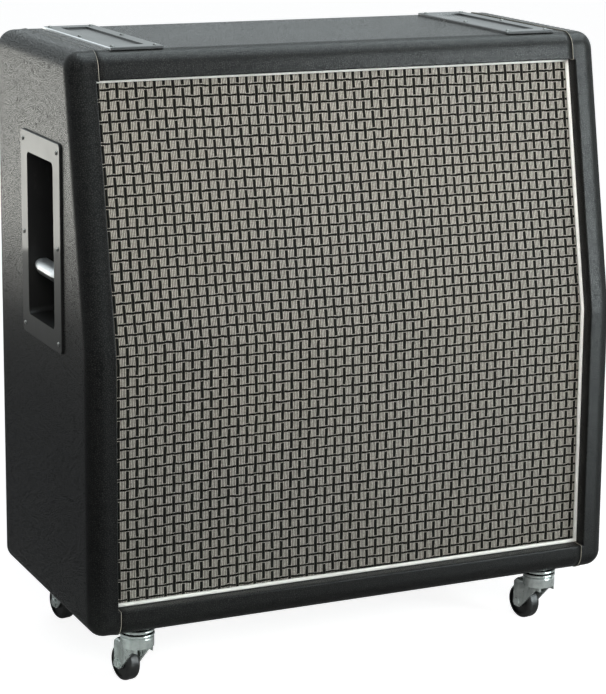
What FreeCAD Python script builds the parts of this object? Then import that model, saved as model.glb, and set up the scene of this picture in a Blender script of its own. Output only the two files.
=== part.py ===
import FreeCAD, Part
import os
import re
import Sketcher
from FreeCAD import Placement, Rotation, Vector

# Angled-front guitar speaker cabinet on four swivel casters.
# Frame: +Z up, front towards -Y, origin on the floor under the middle of the body. Lengths in mm.

os.makedirs("parts", exist_ok=True)
doc = FreeCAD.newDocument("speaker_cabinet")
sheet = doc.addObject("Spreadsheet::Sheet", "sizes")

SIZES = (
    ("body_width", "770", "body across the covering"),
    ("body_height", "755", "body over the covering, without casters"),
    ("body_depth", "365", "body front to back over the covering"),
    ("front_setback", "72", "how far the top of the front leans back"),
    ("kink_height", "377", "where the front starts to lean, above the body's underside"),
    ("edge_radius", "23", "rounding of the front and long edges"),
    ("kink_radius", "60", "softening of the kink across the front"),
    ("back_radius", "6", "rounding of the back edges"),
    ("cover_thick", "1", "vinyl covering"),
    ("panel_thick", "18", "shell panels"),
    ("batten_wide", "16", "build-up battens behind the front lip"),
    ("seam_inset", "40", "covering seam from the side face"),
    ("recess_deep", "22", "front of the cloth behind the front lip"),
    ("cloth_thick", "1", "grille cloth"),
    ("cloth_gap", "0.3", "cloth edge to the lining of the lip"),
    ("piping_wide", "5", "piping strip, seen from the front"),
    ("piping_tall", "4", "piping strip, off the cloth"),
    ("piping_gap", "0.2", "piping to the lining of the lip"),
    ("baffle_thick", "18", "baffle boards"),
    ("baffle_gap", "0.3", "baffle to each side panel"),
    ("cleat_wide", "18", "square cleats behind the baffle and the back panel"),
    ("back_thick", "15", "back panel"),
    ("back_inset", "6", "back panel behind the back edges"),
    ("back_gap", "0.5", "back panel to the shell"),
    ("brace_wide", "44", "square centre brace"),
    ("driver_clear", "4.5", "driver flange to the cleats and to the middle plane"),
    ("flange_wide", "14", "basket flange, outside to inside"),
    ("flange_lap", "13", "basket flange on the baffle, round the driver hole"),
    ("bolt_inset", "6.5", "driver bolt circle in from the flange"),
    ("ledge_wide", "4.5", "ledge that holds the cone edge"),
    ("surround_wide", "10", "rolled edge of the cone"),
    ("basket_sheet", "1.2", "basket steel"),
    ("basket_ledge_deep", "3", "ledge behind the basket's front"),
    ("basket_shelf_deep", "58", "shelf behind the basket's front"),
    ("basket_deep", "72", "basket floor behind its front"),
    ("magnet_thick", "20", "magnet ring"),
    ("plate_thick", "6", "pole plates"),
    ("gap_deep", "23.5", "magnetic gap behind the basket floor"),
    ("coil_thick", "0.6", "voice coil former"),
    ("coil_long", "44", "former behind the cone's neck"),
    ("cone_thick", "1", "paper cone and its edge"),
    ("cone_deep", "48", "cone neck behind the ledge"),
    ("cone_edge_gap", "0.3", "cone edge to the basket rim"),
    ("surround_tall", "3", "rise of the rolled edge"),
    ("cap_tall", "11", "dust cap rise"),
    ("spider_thick", "1", "spider cloth"),
    ("spider_gap", "0.3", "spider to the basket shelf's wall and to the coil"),
    ("screw_radius", "2", "wood screw shank"),
    ("screw_long", "16", "wood screw under its head"),
    ("screw_head_radius", "4.2", "raised screw head"),
    ("screw_head_tall", "2.6", "raised screw head"),
    ("screw_head_round", "1.8", "rounding of a screw head"),
    ("screw_fit", "0.08", "screw shank to its hole, all round"),
    ("short_screw_long", "10", "screws that hold the plates and the handles"),
    ("back_screw_inset", "9", "back panel screws from the shell's inner face"),
    ("stack_wide", "74", "stacking plate across"),
    ("stack_tall", "3.5", "stacking plate over the covering"),
    ("stack_round", "4", "corners of a stacking plate"),
    ("stack_bevel", "1", "upper edge of a stacking plate"),
    ("stack_inset", "97.5", "plate centre in from the side face"),
    ("stack_margin", "11.5", "plate ends to the front and back of the top"),
    ("stack_rest_inset", "24", "caster rest in from the plate ends"),
    ("stack_screw_inset", "12", "end screws in from the plate ends"),
    ("stack_recess_wide", "38", "caster rest in the plate, across"),
    ("stack_recess_deep", "2.5", "caster rest"),
    ("stack_recess_round", "3", "corners of the caster rest"),
    ("stack_screw_wide", "58.5", "plate screws across"),
    ("handle_wide", "160", "handle plate front to back"),
    ("handle_tall", "276", "handle plate up and down"),
    ("handle_thick", "3", "handle plate over the covering"),
    ("handle_round", "7", "corners of a handle plate"),
    ("handle_bevel", "1", "outer edge of a handle plate"),
    ("handle_forward", "4", "handle centre ahead of the body centre"),
    ("handle_drop", "257", "handle centre below the body's top"),
    ("dish_wide", "106", "handle opening front to back"),
    ("dish_tall", "220", "handle opening up and down"),
    ("dish_deep", "56", "handle pocket behind the covering"),
    ("dish_wall", "3", "handle pocket wall"),
    ("dish_round", "9", "corners of the handle pocket"),
    ("dish_taper", "7", "draft of the handle pocket in degrees"),
    ("dish_fit", "0.5", "handle pocket to its hole in the panel"),
    ("grip_drop", "44", "middle of the grip bar below the handle centre"),
    ("grip_thick", "18", "grip bar up and down"),
    ("grip_wide", "20", "grip bar in and out"),
    ("grip_set", "4", "grip bar behind the handle plate's face"),
    ("grip_bow", "5", "how far the grip bar bows outwards"),
    ("grip_round", "8", "edges of the grip bar"),
    ("handle_screw_wide", "137", "handle screws front to back"),
    ("handle_screw_tall", "251", "handle screws up and down, end to end"),
    ("jack_drop", "92", "jack axis below the kink of the front"),
    ("jack_plate_wide", "112", "jack plate across"),
    ("jack_plate_tall", "76", "jack plate up and down"),
    ("jack_plate_thick", "2", "jack plate"),
    ("jack_plate_round", "6", "corners of the jack plate"),
    ("jack_screw_wide", "94", "jack plate screws across"),
    ("jack_screw_tall", "58", "jack plate screws up and down"),
    ("jack_hole_wide", "44", "hole in the back panel behind the jack"),
    ("jack_bore_radius", "3.25", "plug bore"),
    ("jack_thread_radius", "4.7", "jack bush"),
    ("jack_fit", "0.1", "jack bush to its hole and nut"),
    ("jack_bush_out", "3.5", "jack bush behind the plate"),
    ("jack_body_wide", "24", "jack body across"),
    ("jack_body_long", "26", "jack body, into the box"),
    ("jack_nut_flat", "6.5", "jack nut, centre to flat"),
    ("jack_nut_tall", "3", "jack nut"),
    ("caster_height", "88", "floor to the body's underside"),
    ("caster_inset", "79.5", "swivel axes in from the side faces"),
    ("caster_front_inset", "47.5", "front swivel axes behind the front"),
    ("caster_rear_inset", "58.5", "rear swivel axes ahead of the back"),
    ("trail", "31", "wheel axle behind the swivel axis"),
    ("caster_turn", "10", "casters turned from straight back, in degrees"),
    ("wheel_radius", "25", "wheel"),
    ("wheel_wide", "20", "wheel tread"),
    ("wheel_crown", "8", "rounding of the tread edges"),
    ("wheel_dish", "3", "hollow in the wheel's face"),
    ("wheel_rim", "6", "rim outside the hollow"),
    ("hub_radius", "9", "wheel hub"),
    ("hub_play", "0.5", "hub to each fork leg"),
    ("axle_radius", "4", "axle"),
    ("axle_fit", "0.05", "axle to its bore, all round"),
    ("axle_head_radius", "6", "axle head"),
    ("axle_head_tall", "2.2", "axle head"),
    ("fork_inside", "23", "between the fork legs"),
    ("fork_sheet", "2.5", "fork steel"),
    ("fork_foot", "7", "leg end round the axle"),
    ("fork_front", "20", "fork ahead of the swivel axis"),
    ("fork_skirt", "8", "fork leg depth at its front"),
    ("fork_neck", "33", "leg's neck ahead of its foot"),
    ("fork_sweep", "14", "curve of a leg's front edge"),
    ("fork_shoulder", "6", "bevel of a leg's upper rear corner"),
    ("fork_bend", "4", "outside bend of the fork"),
    ("fork_drop", "27", "top of the fork below the body's underside"),
    ("crown_radius", "22.5", "fork crown"),
    ("crown_tall", "12", "fork crown above the fork"),
    ("crown_round", "3", "crown edge"),
    ("race_radius", "23.5", "fixed race"),
    ("race_round", "2.5", "race edge"),
    ("race_gap", "0.4", "crown to the fixed race"),
    ("stem_radius", "5.5", "caster stem"),
    ("stem_fit", "0.06", "stem to the fork and to its socket"),
    ("stem_short", "2", "stem end to the inside of the bottom panel"),
    ("kingpin_head_radius", "9", "head of the stem under the fork"),
    ("kingpin_head_tall", "2.5", "head of the stem under the fork"),
    ("kingpin_play", "0.3", "head of the stem to the fork"),
    ("socket_wall", "1.5", "stem socket"),
    ("socket_flange_radius", "15", "stem socket flange"),
    ("socket_flange_thick", "1.5", "stem socket flange"),
    ("socket_fit", "0.1", "stem socket to its hole"),
)

ALIASES = []


def write_cell(alias, content, meaning):
    """One named row of the sheet, a number or a formula over the rows above it."""
    ALIASES.append(alias)
    row = len(ALIASES)
    sheet.set("A%d" % row, meaning)
    sheet.set("B%d" % row, content)
    sheet.setAlias("B%d" % row, alias)


for alias, number, meaning in SIZES:
    write_cell(alias, number, meaning)
doc.recompute()


def size(alias):
    """The number in the sheet."""
    return float(sheet.get(alias))


def named(formula):
    """A formula in plain words, with each word of the sheet pointing at its cell."""
    return re.sub(
        r"[a-z_]+",
        lambda word: ("sizes." if word.group() in ALIASES else "") + word.group(),
        formula,
    )


def bind(thing, prop, formula):
    """Tie a property to a formula over the sheet."""
    thing.setExpression(prop, named(formula))


def place(thing, x="0", y="0", z="0"):
    """Tie a thing's place to formulas over the sheet."""
    bind(thing, "Placement.Base.x", x)
    bind(thing, "Placement.Base.y", y)
    bind(thing, "Placement.Base.z", z)


# Lines that many pieces share.
FLOOR = "caster_height"
ROOF = "(caster_height + body_height)"
FRONT = "(-body_depth / 2)"
BACK = "(body_depth / 2)"
SIDE = "(body_width / 2)"
KINK = "(caster_height + kink_height)"
LEAN = "atan(front_setback / (body_height - kink_height))"
SHELL = "(cover_thick + panel_thick)"
LIP = "(2 * cover_thick + panel_thick + batten_wide)"
HOLLOW_SIDE = "(body_width / 2 - %s)" % SHELL
HOLLOW_FLOOR = "(caster_height + %s)" % SHELL
HOLLOW_ROOF = "(caster_height + body_height - %s)" % SHELL
SEAM = "(body_width / 2 - seam_inset)"
CLOTH_BACK = "(recess_deep + cloth_thick)"
BAFFLE_BACK = "(recess_deep + cloth_thick + baffle_thick)"
CLEAT_BACK = "(recess_deep + cloth_thick + baffle_thick + cleat_wide)"


def upright(deep):
    """Where the lower front lies, at a depth behind the front lip."""
    return "(%s + %s)" % (FRONT, deep)


def kink(deep):
    """Level of the kink at a depth behind the front lip."""
    return "(%s - %s * tan(%s / 2))" % (KINK, deep, LEAN)


def leaning(deep, level):
    """Where the leaning front lies, at a depth behind the front lip and at a level."""
    return "(%s + (%s - %s) * tan(%s))" % (upright(deep), level, kink(deep), LEAN)


# The drivers fill their half of each baffle board, so their radii follow the boards.
CLEAT_SIDE = "(%s - cleat_wide)" % HOLLOW_SIDE
LOWER_HALF = "((%s - %s) / 2)" % (kink(BAFFLE_BACK), HOLLOW_FLOOR)
UPPER_HALF = "((%s - %s) / 2)" % (HOLLOW_ROOF, kink(BAFFLE_BACK))
DRIVER_ROOM = "min(%s - cleat_wide; %s - cleat_wide; %s / 2)" % (LOWER_HALF, UPPER_HALF, CLEAT_SIDE)
ledge_shares = (
    ("window_far_radius", "0.941", "basket windows, outer end"),
    ("window_near_radius", "0.691", "basket windows, inner end"),
    ("window_wide", "0.456", "basket windows, across"),
    ("basket_shelf_radius", "0.618", "outside of the shelf that holds the spider"),
    ("basket_neck_radius", "0.515", "inside of the basket neck"),
    ("basket_hole_radius", "0.221", "hole in the basket floor"),
    ("magnet_radius", "0.515", "magnet ring"),
    ("plate_radius", "0.412", "pole plates"),
    ("cap_radius", "0.279", "dust cap"),
    ("gap_radius", "0.2015", "outside of the magnetic gap"),
    ("coil_radius", "0.184", "inside of the voice coil former"),
    ("pole_radius", "0.169", "centre pole"),
)
write_cell("driver_radius", "=%s - driver_clear" % DRIVER_ROOM, "basket flange")
write_cell("cutout_radius", "=driver_radius - flange_lap", "hole in the baffle for a driver")
write_cell("driver_bolt_radius", "=driver_radius - bolt_inset", "bolt circle radius of a driver")
write_cell("basket_rim_radius", "=driver_radius - flange_wide", "inside of the basket rim")
write_cell("basket_ledge_radius", "=basket_rim_radius - ledge_wide", "inside of the ledge")
write_cell("cone_edge_radius", "=basket_ledge_radius - surround_wide", "cone proper, outside")
for alias, share, meaning in ledge_shares:
    write_cell(alias, "=basket_ledge_radius * %s" % share, meaning)

# The stacking plates run the length of the top.
write_cell("stack_long", "=body_depth - front_setback - 2 * stack_margin", "stacking plate front to back")
write_cell(
    "stack_recess_long",
    "=stack_long - 2 * stack_rest_inset",
    "caster rest in the plate, front to back",
)
write_cell("stack_screw_long", "=stack_long - 2 * stack_screw_inset", "plate screws, end to end")
doc.recompute()


def plane(body, role):
    """One of a body's own base planes."""
    return next(item for item in body.Origin.OriginFeatures if item.Role == role)


def new_body(name):
    """An empty body."""
    body = doc.addObject("PartDesign::Body", name)
    body.Label = name
    return body


def sketch_on(body, name, role, level="0"):
    """A sketch on one of a body's base planes, lifted to a level."""
    sketch = body.newObject("Sketcher::SketchObject", name)
    sketch.AttachmentSupport = (plane(body, role), [""])
    sketch.MapMode = "FlatFace"
    bind(sketch, "AttachmentOffset.Base.z", level)
    return sketch


def fix_point(sketch, line, end, across, along):
    """Tie one end of a line to formulas, measured from the sketch's origin."""
    for kind, formula in (("DistanceX", across), ("DistanceY", along)):
        number = sketch.addConstraint(Sketcher.Constraint(kind, -1, 1, line, end, 1.0))
        bind(sketch, "Constraints[%d]" % number, formula)


def outline(body, name, role, corners, level="0"):
    """A closed outline of straight lines between corners given as formulas."""
    sketch = sketch_on(body, name, role, level)
    count = len(corners)
    ring = [Rotation(Vector(0, 0, 1), 360 * step / count).multVec(Vector(1, 0, 0)) for step in range(count)]
    for step in range(count):
        sketch.addGeometry(Part.LineSegment(ring[step], ring[(step + 1) % count]))
    for step in range(count):
        sketch.addConstraint(Sketcher.Constraint("Coincident", step, 2, (step + 1) % count, 1))
    for step, (across, along) in enumerate(corners):
        fix_point(sketch, step, 1, across, along)
    return sketch


def rectangle(body, name, role, across, along, wide, tall, level="0"):
    """A rectangle round a middle point."""
    left, right = "%s - %s / 2" % (across, wide), "%s + %s / 2" % (across, wide)
    low, high = "%s - %s / 2" % (along, tall), "%s + %s / 2" % (along, tall)
    return outline(body, name, role, ((left, low), (right, low), (right, high), (left, high)), level)


def circle(body, name, role, across, along, radius, level="0"):
    """A circle round a middle point."""
    sketch = sketch_on(body, name, role, level)
    sketch.addGeometry(Part.Circle(Vector(0, 0, 0), Vector(0, 0, 1), 1.0))
    number = sketch.addConstraint(Sketcher.Constraint("Radius", 0, 1.0))
    bind(sketch, "Constraints[%d]" % number, radius)
    fix_point(sketch, 0, 3, across, along)
    return sketch


def pad(body, name, sketch, length, reverse=False, middle=False, taper="0"):
    """Grow a sketch into a solid."""
    feature = body.newObject("PartDesign::Pad", name)
    feature.Profile = sketch
    feature.SideType = "Symmetric" if middle else "One side"
    feature.Reversed = reverse
    bind(feature, "Length", length)
    bind(feature, "TaperAngle", taper)
    doc.recompute()
    return feature


def pocket(body, name, sketch, length, reverse=False, middle=False, taper="0"):
    """Cut a sketch into a solid."""
    feature = body.newObject("PartDesign::Pocket", name)
    feature.Profile = sketch
    feature.Type = "Length"
    feature.SideType = "Symmetric" if middle else "One side"
    feature.Reversed = reverse
    bind(feature, "Length", length)
    bind(feature, "TaperAngle", taper)
    doc.recompute()
    return feature


def turn(body, name, sketch, axis="V_Axis"):
    """Turn a sketch round its upright axis, or round its level one."""
    feature = body.newObject("PartDesign::Revolution", name)
    feature.Profile = sketch
    feature.ReferenceAxis = (sketch, [axis])
    doc.recompute()
    return feature


def ease(body, name, base, radius, wanted, kind="PartDesign::Fillet"):
    """Round or bevel the edges that a test picks."""
    picked = ["Edge%d" % number for number, edge in enumerate(base.Shape.Edges, start=1) if wanted(edge)]
    feature = body.newObject(kind, name)
    feature.Base = (base, picked)
    bind(feature, "Radius" if kind == "PartDesign::Fillet" else "Size", radius)
    doc.recompute()
    return feature


def along(edge, axis):
    """Whether an edge is straight and runs along an axis."""
    box = edge.BoundBox
    spans = (box.XLength, box.YLength, box.ZLength)
    return all(abs(span) < TINY for number, span in enumerate(spans) if number != axis)


def at(value, goal):
    """Whether two places are the same."""
    return abs(value - goal) < TINY


TINY = 1e-4


def block(name, x, y, z):
    """A box between pairs of formulas."""
    thing = doc.addObject("Part::Box", name)
    for prop, (low, high) in (("Length", x), ("Width", y), ("Height", z)):
        bind(thing, prop, "%s - (%s)" % (high, low))
    place(thing, x[0], y[0], z[0])
    return thing


TURNS = {
    "up": Rotation(),
    "back": Rotation(Vector(1, 0, 0), -90),
    "right": Rotation(Vector(0, 1, 0), 90),
    "left": Rotation(Vector(0, 1, 0), -90),
    "down": Rotation(Vector(1, 0, 0), 180),
    "front": Rotation(Vector(1, 0, 0), 90),
}


def rod(name, radius, length, spot, way="up"):
    """A cylinder from a spot, pointing one way."""
    thing = doc.addObject("Part::Cylinder", name)
    bind(thing, "Radius", radius)
    bind(thing, "Height", length)
    thing.Placement = Placement(Vector(), TURNS[way])
    place(thing, *spot)
    return thing


def group(name, things):
    """Several solids kept as one."""
    thing = doc.addObject("Part::Compound", name)
    thing.Links = things
    return thing


def cut(name, base, tool):
    """One thing less another."""
    thing = doc.addObject("Part::Cut", name)
    thing.Base = base
    thing.Tool = tool
    thing.Refine = True
    return thing


def common(name, things):
    """What things share."""
    thing = doc.addObject("Part::MultiCommon", name)
    thing.Shapes = things
    thing.Refine = True
    return thing


def fuse(name, things):
    """Things joined into one."""
    thing = doc.addObject("Part::MultiFuse", name)
    thing.Shapes = things
    thing.Refine = True
    return thing


def mirror(name, source):
    """The same piece on the other side of the middle plane."""
    thing = doc.addObject("Part::Mirroring", name)
    thing.Source = source
    thing.Normal = Vector(1, 0, 0)
    return thing


SUB_PARTS = []


def keep(thing, label):
    """Name a finished sub-part."""
    thing.Label = label
    SUB_PARTS.append(thing)
    return thing


def links(name, source, spots, way="up"):
    """Copies of one piece at several spots, kept as one."""
    copies = []
    for number, spot in enumerate(spots, start=1):
        copy = doc.addObject("App::Link", "%s_%d" % (name, number))
        copy.LinkedObject = source
        copy.Placement = Placement(Vector(), TURNS[way])
        place(copy, *spot)
        copies.append(copy)
    return group(name, copies)


# The outer form of the body, and the timber form one covering thickness inside it.
def body_form(name, inset):
    body = new_body(name)
    low, high = "(%s + %s)" % (FLOOR, inset), "(%s - %s)" % (ROOF, inset)
    rear = "(%s - %s)" % (BACK, inset)
    corners = (
        (upright(inset), low),
        (upright(inset), kink(inset)),
        (leaning(inset, high), high),
        (rear, high),
        (rear, low),
    )
    profile = outline(body, name + "_profile", "YZ_Plane", corners)
    whole = pad(body, name + "_pad", profile, "body_width - 2 * %s" % inset, middle=True)
    box = whole.Shape.BoundBox

    def is_kink(edge):
        return along(edge, 0) and at(edge.BoundBox.YMin, box.YMin) and edge.BoundBox.ZMin > box.ZMin + TINY

    soft = ease(body, name + "_kink", whole, "kink_radius - %s" % inset, is_kink)

    def is_front_or_long(edge):
        spot = edge.BoundBox
        if at(spot.YMin, box.YMax):
            return False
        across = along(edge, 0)
        if across:
            return at(spot.ZMin, box.ZMin) or at(spot.ZMin, box.ZMax)
        return True

    rounded = ease(body, name + "_edges", soft, "edge_radius - %s" % inset, is_front_or_long)

    def is_back(edge):
        return at(edge.BoundBox.YMin, box.YMax)

    ease(body, name + "_back", rounded, "back_radius - %s" % inset, is_back)
    return body


outer_form = body_form("outer_form", "0")
timber_form = body_form("timber_form", "cover_thick")

# Spaces cut from the forms: the hollow of the shell, and the mouth inside the front lip.
THROUGH = ("%s - body_depth" % FRONT, "%s + body_depth" % BACK)
MIDDLE = "0"
hollow = block("hollow", ("-" + HOLLOW_SIDE, HOLLOW_SIDE), THROUGH, (HOLLOW_FLOOR, HOLLOW_ROOF))
rear_hollow = block(
    "rear_hollow",
    ("-" + HOLLOW_SIDE, HOLLOW_SIDE),
    (MIDDLE, THROUGH[1]),
    (HOLLOW_FLOOR, HOLLOW_ROOF),
)


def mouth(name, rim):
    """A straight hole through the front, a rim in from the body's outside."""
    side = "(%s - %s)" % (SIDE, rim)
    return block(
        name,
        ("-" + side, side),
        (THROUGH[0], MIDDLE),
        ("(%s + %s)" % (FLOOR, rim), "(%s - %s)" % (ROOF, rim)),
    )


TIMBER_RIM = "(cover_thick + panel_thick + batten_wide)"
lined_mouth = mouth("lined_mouth", LIP)
timber_mouth = mouth("timber_mouth", TIMBER_RIM)


def front_band(name, near, far, side, low, high):
    """A layer that follows the kinked front between two depths."""
    body = new_body(name)
    corners = (
        (upright(near), low),
        (upright(near), kink(near)),
        (leaning(near, high), high),
        (leaning(far, high), high),
        (upright(far), kink(far)),
        (upright(far), low),
    )
    pad(
        body,
        name + "_pad",
        outline(body, name + "_profile", "YZ_Plane", corners),
        "2 * %s" % side,
        middle=True,
    )
    return body


lip_band = front_band("lip_band", "0", CLOTH_BACK, SIDE, FLOOR, ROOF)

# Fasteners: one raised-head wood screw in two lengths, head at the origin, shank pointing down.
def wood_screw(name, length):
    body = new_body(name)
    corners = (
        ("0", "screw_head_tall"),
        ("screw_head_radius", "screw_head_tall"),
        ("screw_head_radius", "0"),
        ("screw_radius", "0"),
        ("screw_radius", "-" + length),
        ("0", "-" + length),
    )
    whole = turn(body, name + "_turn", outline(body, name + "_profile", "XZ_Plane", corners))
    top = size("screw_head_tall")
    ease(body, name + "_head", whole, "screw_head_round", lambda edge: edge.BoundBox.ZMin > top - TINY)
    return body


short_screw = wood_screw("short_screw", "short_screw_long")
HOLE = "(screw_radius + screw_fit)"


def screw_holes(name, spots, length, way):
    """Holes that screws go into, from the faces under their heads."""
    rods = [
        rod("%s_%d" % (name, number), HOLE, length, spot, way)
        for number, spot in enumerate(spots, start=1)
    ]
    return group(name, rods)


SHORT_HOLE = "(short_screw_long + screw_fit)"
SIDES = (("left", "-"), ("right", ""))

# Stacking plates: bevelled plates with a shallow rest for the casters of a cabinet stacked on top.
STACK_X = "(%s - stack_inset)" % SIDE
STACK_Y = "(%s - stack_margin - stack_long / 2)" % BACK


def stacking_plate(name, side):
    body = new_body(name)
    profile = rectangle(body, name + "_profile", "XY_Plane", "0", "0", "stack_wide", "stack_long")
    slab = pad(body, name + "_slab", profile, "stack_tall")
    high = size("stack_tall")
    corners = ease(body, name + "_corners", slab, "stack_round", lambda edge: along(edge, 2))
    bevel = ease(
        body,
        name + "_bevel",
        corners,
        "stack_bevel",
        lambda edge: at(edge.BoundBox.ZMin, high),
        "PartDesign::Chamfer",
    )
    hollow_line = rectangle(
        body,
        name + "_rest_line",
        "XY_Plane",
        "0",
        "0",
        "stack_recess_wide",
        "stack_recess_long",
        "stack_tall",
    )
    rest = pocket(body, name + "_rest", hollow_line, "stack_recess_deep")
    half = size("stack_recess_wide") / 2
    ease(
        body,
        name + "_rest_corners",
        rest,
        "stack_recess_round",
        lambda edge: along(edge, 2) and at(abs(edge.BoundBox.XMin), half),
    )
    place(body, side + STACK_X, STACK_Y, ROOF)
    return body


def stack_spots(side, level):
    """Screw places of one stacking plate."""
    spots = []
    for across in ("-", "+"):
        for step in ("- stack_screw_long / 2", "+ 0", "+ stack_screw_long / 2"):
            x = "%s%s %s stack_screw_wide / 2" % (side, STACK_X, across)
            spots.append((x, "%s %s" % (STACK_Y, step), level))
    return spots


STACK_TOP = "(%s + stack_tall)" % ROOF
all_stack_spots = stack_spots("-", STACK_TOP) + stack_spots("", STACK_TOP)
stack_holes = screw_holes("stack_holes", all_stack_spots, SHORT_HOLE, "down")
for label, side in SIDES:
    raw = stacking_plate("stacking_slab_" + label, side)
    keep(cut("stacking_plate_cut_" + label, raw, stack_holes), "stacking_plate_" + label)
keep(links("stacking_screw_set", short_screw, all_stack_spots), "stacking_plate_screws")

# Side handles: a bevelled plate, a drafted pocket behind it and a bowed grip bar across the pocket.
HANDLE_Y = "(-handle_forward)"
grip_flat_share = "0.25"
HANDLE_Z = "(%s - handle_drop)" % ROOF


def handle(name):
    body = new_body(name)
    across, level = HANDLE_Y, HANDLE_Z
    face = "(%s + handle_thick)" % SIDE
    plate_line = rectangle(
        body,
        name + "_plate_line",
        "YZ_Plane",
        across,
        level,
        "handle_wide",
        "handle_tall",
        SIDE,
    )
    plate = pad(body, name + "_plate", plate_line, "handle_thick")
    outside = size("body_width") / 2 + size("handle_thick")
    corners = ease(body, name + "_corners", plate, "handle_round", lambda edge: along(edge, 0))
    ease(
        body,
        name + "_bevel",
        corners,
        "handle_bevel",
        lambda edge: at(edge.BoundBox.XMin, outside) and at(edge.BoundBox.XMax, outside),
        "PartDesign::Chamfer",
    )
    wide, tall = "(dish_wide + 2 * dish_wall)", "(dish_tall + 2 * dish_wall)"
    dish_line = rectangle(body, name + "_dish_line", "YZ_Plane", across, level, wide, tall, SIDE)
    dish = pad(body, name + "_dish", dish_line, "dish_deep", reverse=True, taper="-dish_taper")
    inside = size("body_width") / 2 - size("dish_deep")
    plate_inner = size("body_width") / 2

    def is_dish_corner(edge):
        spot = edge.BoundBox
        return spot.XMax < plate_inner + TINY and spot.XLength > (plate_inner - inside) / 2

    outer = ease(body, name + "_dish_corners", dish, "dish_round", is_dish_corner)
    well_line = rectangle(
        body,
        name + "_well_line",
        "YZ_Plane",
        across,
        level,
        "dish_wide",
        "dish_tall",
        face,
    )
    well = pocket(
        body,
        name + "_well",
        well_line,
        "dish_deep + handle_thick - dish_wall",
        taper="-dish_taper",
    )
    floor = inside + size("dish_wall")
    half_wide, half_tall = size("dish_wide") / 2, size("dish_tall") / 2
    mid_y = -size("handle_forward")
    mid_z = size("caster_height") + size("body_height") - size("handle_drop")

    def is_well_corner(edge):
        spot = edge.BoundBox
        deep = at(spot.XMin, floor) and at(spot.XMax, outside)
        near = abs(spot.Center.y - mid_y) < half_wide and abs(spot.Center.z - mid_z) < half_tall
        return deep and near

    eased = ease(body, name + "_well_corners", well, "dish_round - dish_wall / 2", is_well_corner)
    grip_level = "(%s - grip_drop)" % HANDLE_Z
    near = "(%s - grip_set)" % face
    far = "(%s - grip_wide)" % near
    reach = "(dish_wide / 2 + dish_wall / 2)"
    bar_corners = (
        (far, "%s - %s" % (across, reach)),
        ("%s - grip_bow" % near, "%s - %s" % (across, reach)),
        (near, "%s - dish_wide * %s" % (across, grip_flat_share)),
        (near, "%s + dish_wide * %s" % (across, grip_flat_share)),
        ("%s - grip_bow" % near, "%s + %s" % (across, reach)),
        (far, "%s + %s" % (across, reach)),
    )
    bar_line = outline(body, name + "_bar_line", "XY_Plane", bar_corners, grip_level)
    bar = pad(body, name + "_bar", bar_line, "grip_thick", middle=True)
    bar_low = mid_z - size("grip_drop") - size("grip_thick") / 2
    bar_high = bar_low + size("grip_thick")
    bar_near = outside - size("grip_set") - size("grip_bow")

    def is_bar_edge(edge):
        spot = edge.BoundBox
        flat = at(spot.ZLength, 0) and (at(spot.ZMin, bar_low) or at(spot.ZMin, bar_high))
        return flat and spot.XMin > bar_near - TINY and spot.XMax < outside - TINY

    ease(body, name + "_bar_edges", bar, "grip_round", is_bar_edge)
    return body


def handle_spots():
    """Screw places of the right handle."""
    face = "%s + handle_thick" % SIDE
    spots = []
    for across in ("-", "+"):
        for step in ("- handle_screw_tall / 2", "+ 0", "+ handle_screw_tall / 2"):
            y = "%s %s handle_screw_wide / 2" % (HANDLE_Y, across)
            spots.append((face, y, "%s %s" % (HANDLE_Z, step)))
    return spots


right_handle_holes = screw_holes("right_handle_holes", handle_spots(), SHORT_HOLE, "left")
right_handle = cut("right_handle", handle("handle_moulding"), right_handle_holes)
keep(right_handle, "handle_right")
keep(mirror("left_handle", right_handle), "handle_left")
left_handle_holes = mirror("left_handle_holes", right_handle_holes)
right_handle_screws = links("right_handle_screws", short_screw, handle_spots(), "right")
left_handle_screws = mirror("left_handle_screws", right_handle_screws)
keep(group("handle_screw_set", [left_handle_screws, right_handle_screws]), "handle_screws")

# The hole in a side panel that a handle's pocket drops into.
handle_hole = new_body("handle_hole")
HOLE_WIDE = "(dish_wide + 2 * dish_wall + 2 * dish_fit)"
HOLE_TALL = "(dish_tall + 2 * dish_wall + 2 * dish_fit)"
hole_line = rectangle(
    handle_hole,
    "handle_hole_line",
    "YZ_Plane",
    HANDLE_Y,
    HANDLE_Z,
    HOLE_WIDE,
    HOLE_TALL,
    SIDE,
)
hole_pad = pad(handle_hole, "handle_hole_pad", hole_line, "4 * %s" % SHELL, middle=True)
ease(handle_hole, "handle_hole_corners", hole_pad, "dish_round", lambda edge: along(edge, 0))
right_side_tools = group("right_side_tools", [handle_hole, right_handle_holes])
left_side_tools = mirror("left_side_tools", right_side_tools)

# Casters, each placed from its swivel axis.
CASTER_X = "(%s - caster_inset)" % SIDE
CASTER_FRONT = "(%s + caster_front_inset)" % FRONT
CASTER_REAR = "(%s - caster_rear_inset)" % BACK
CASTERS = (
    ("front_left", "-" + CASTER_X, CASTER_FRONT),
    ("front_right", CASTER_X, CASTER_FRONT),
    ("rear_left", "-" + CASTER_X, CASTER_REAR),
    ("rear_right", CASTER_X, CASTER_REAR),
)
FORK_TOP = "(caster_height - fork_drop)"
CROWN_TOP = "(caster_height - fork_drop + crown_tall)"
STEM_TOP = "(%s - stem_short)" % SHELL
axes = [(x, y, FLOOR) for label, x, y in CASTERS]

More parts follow.
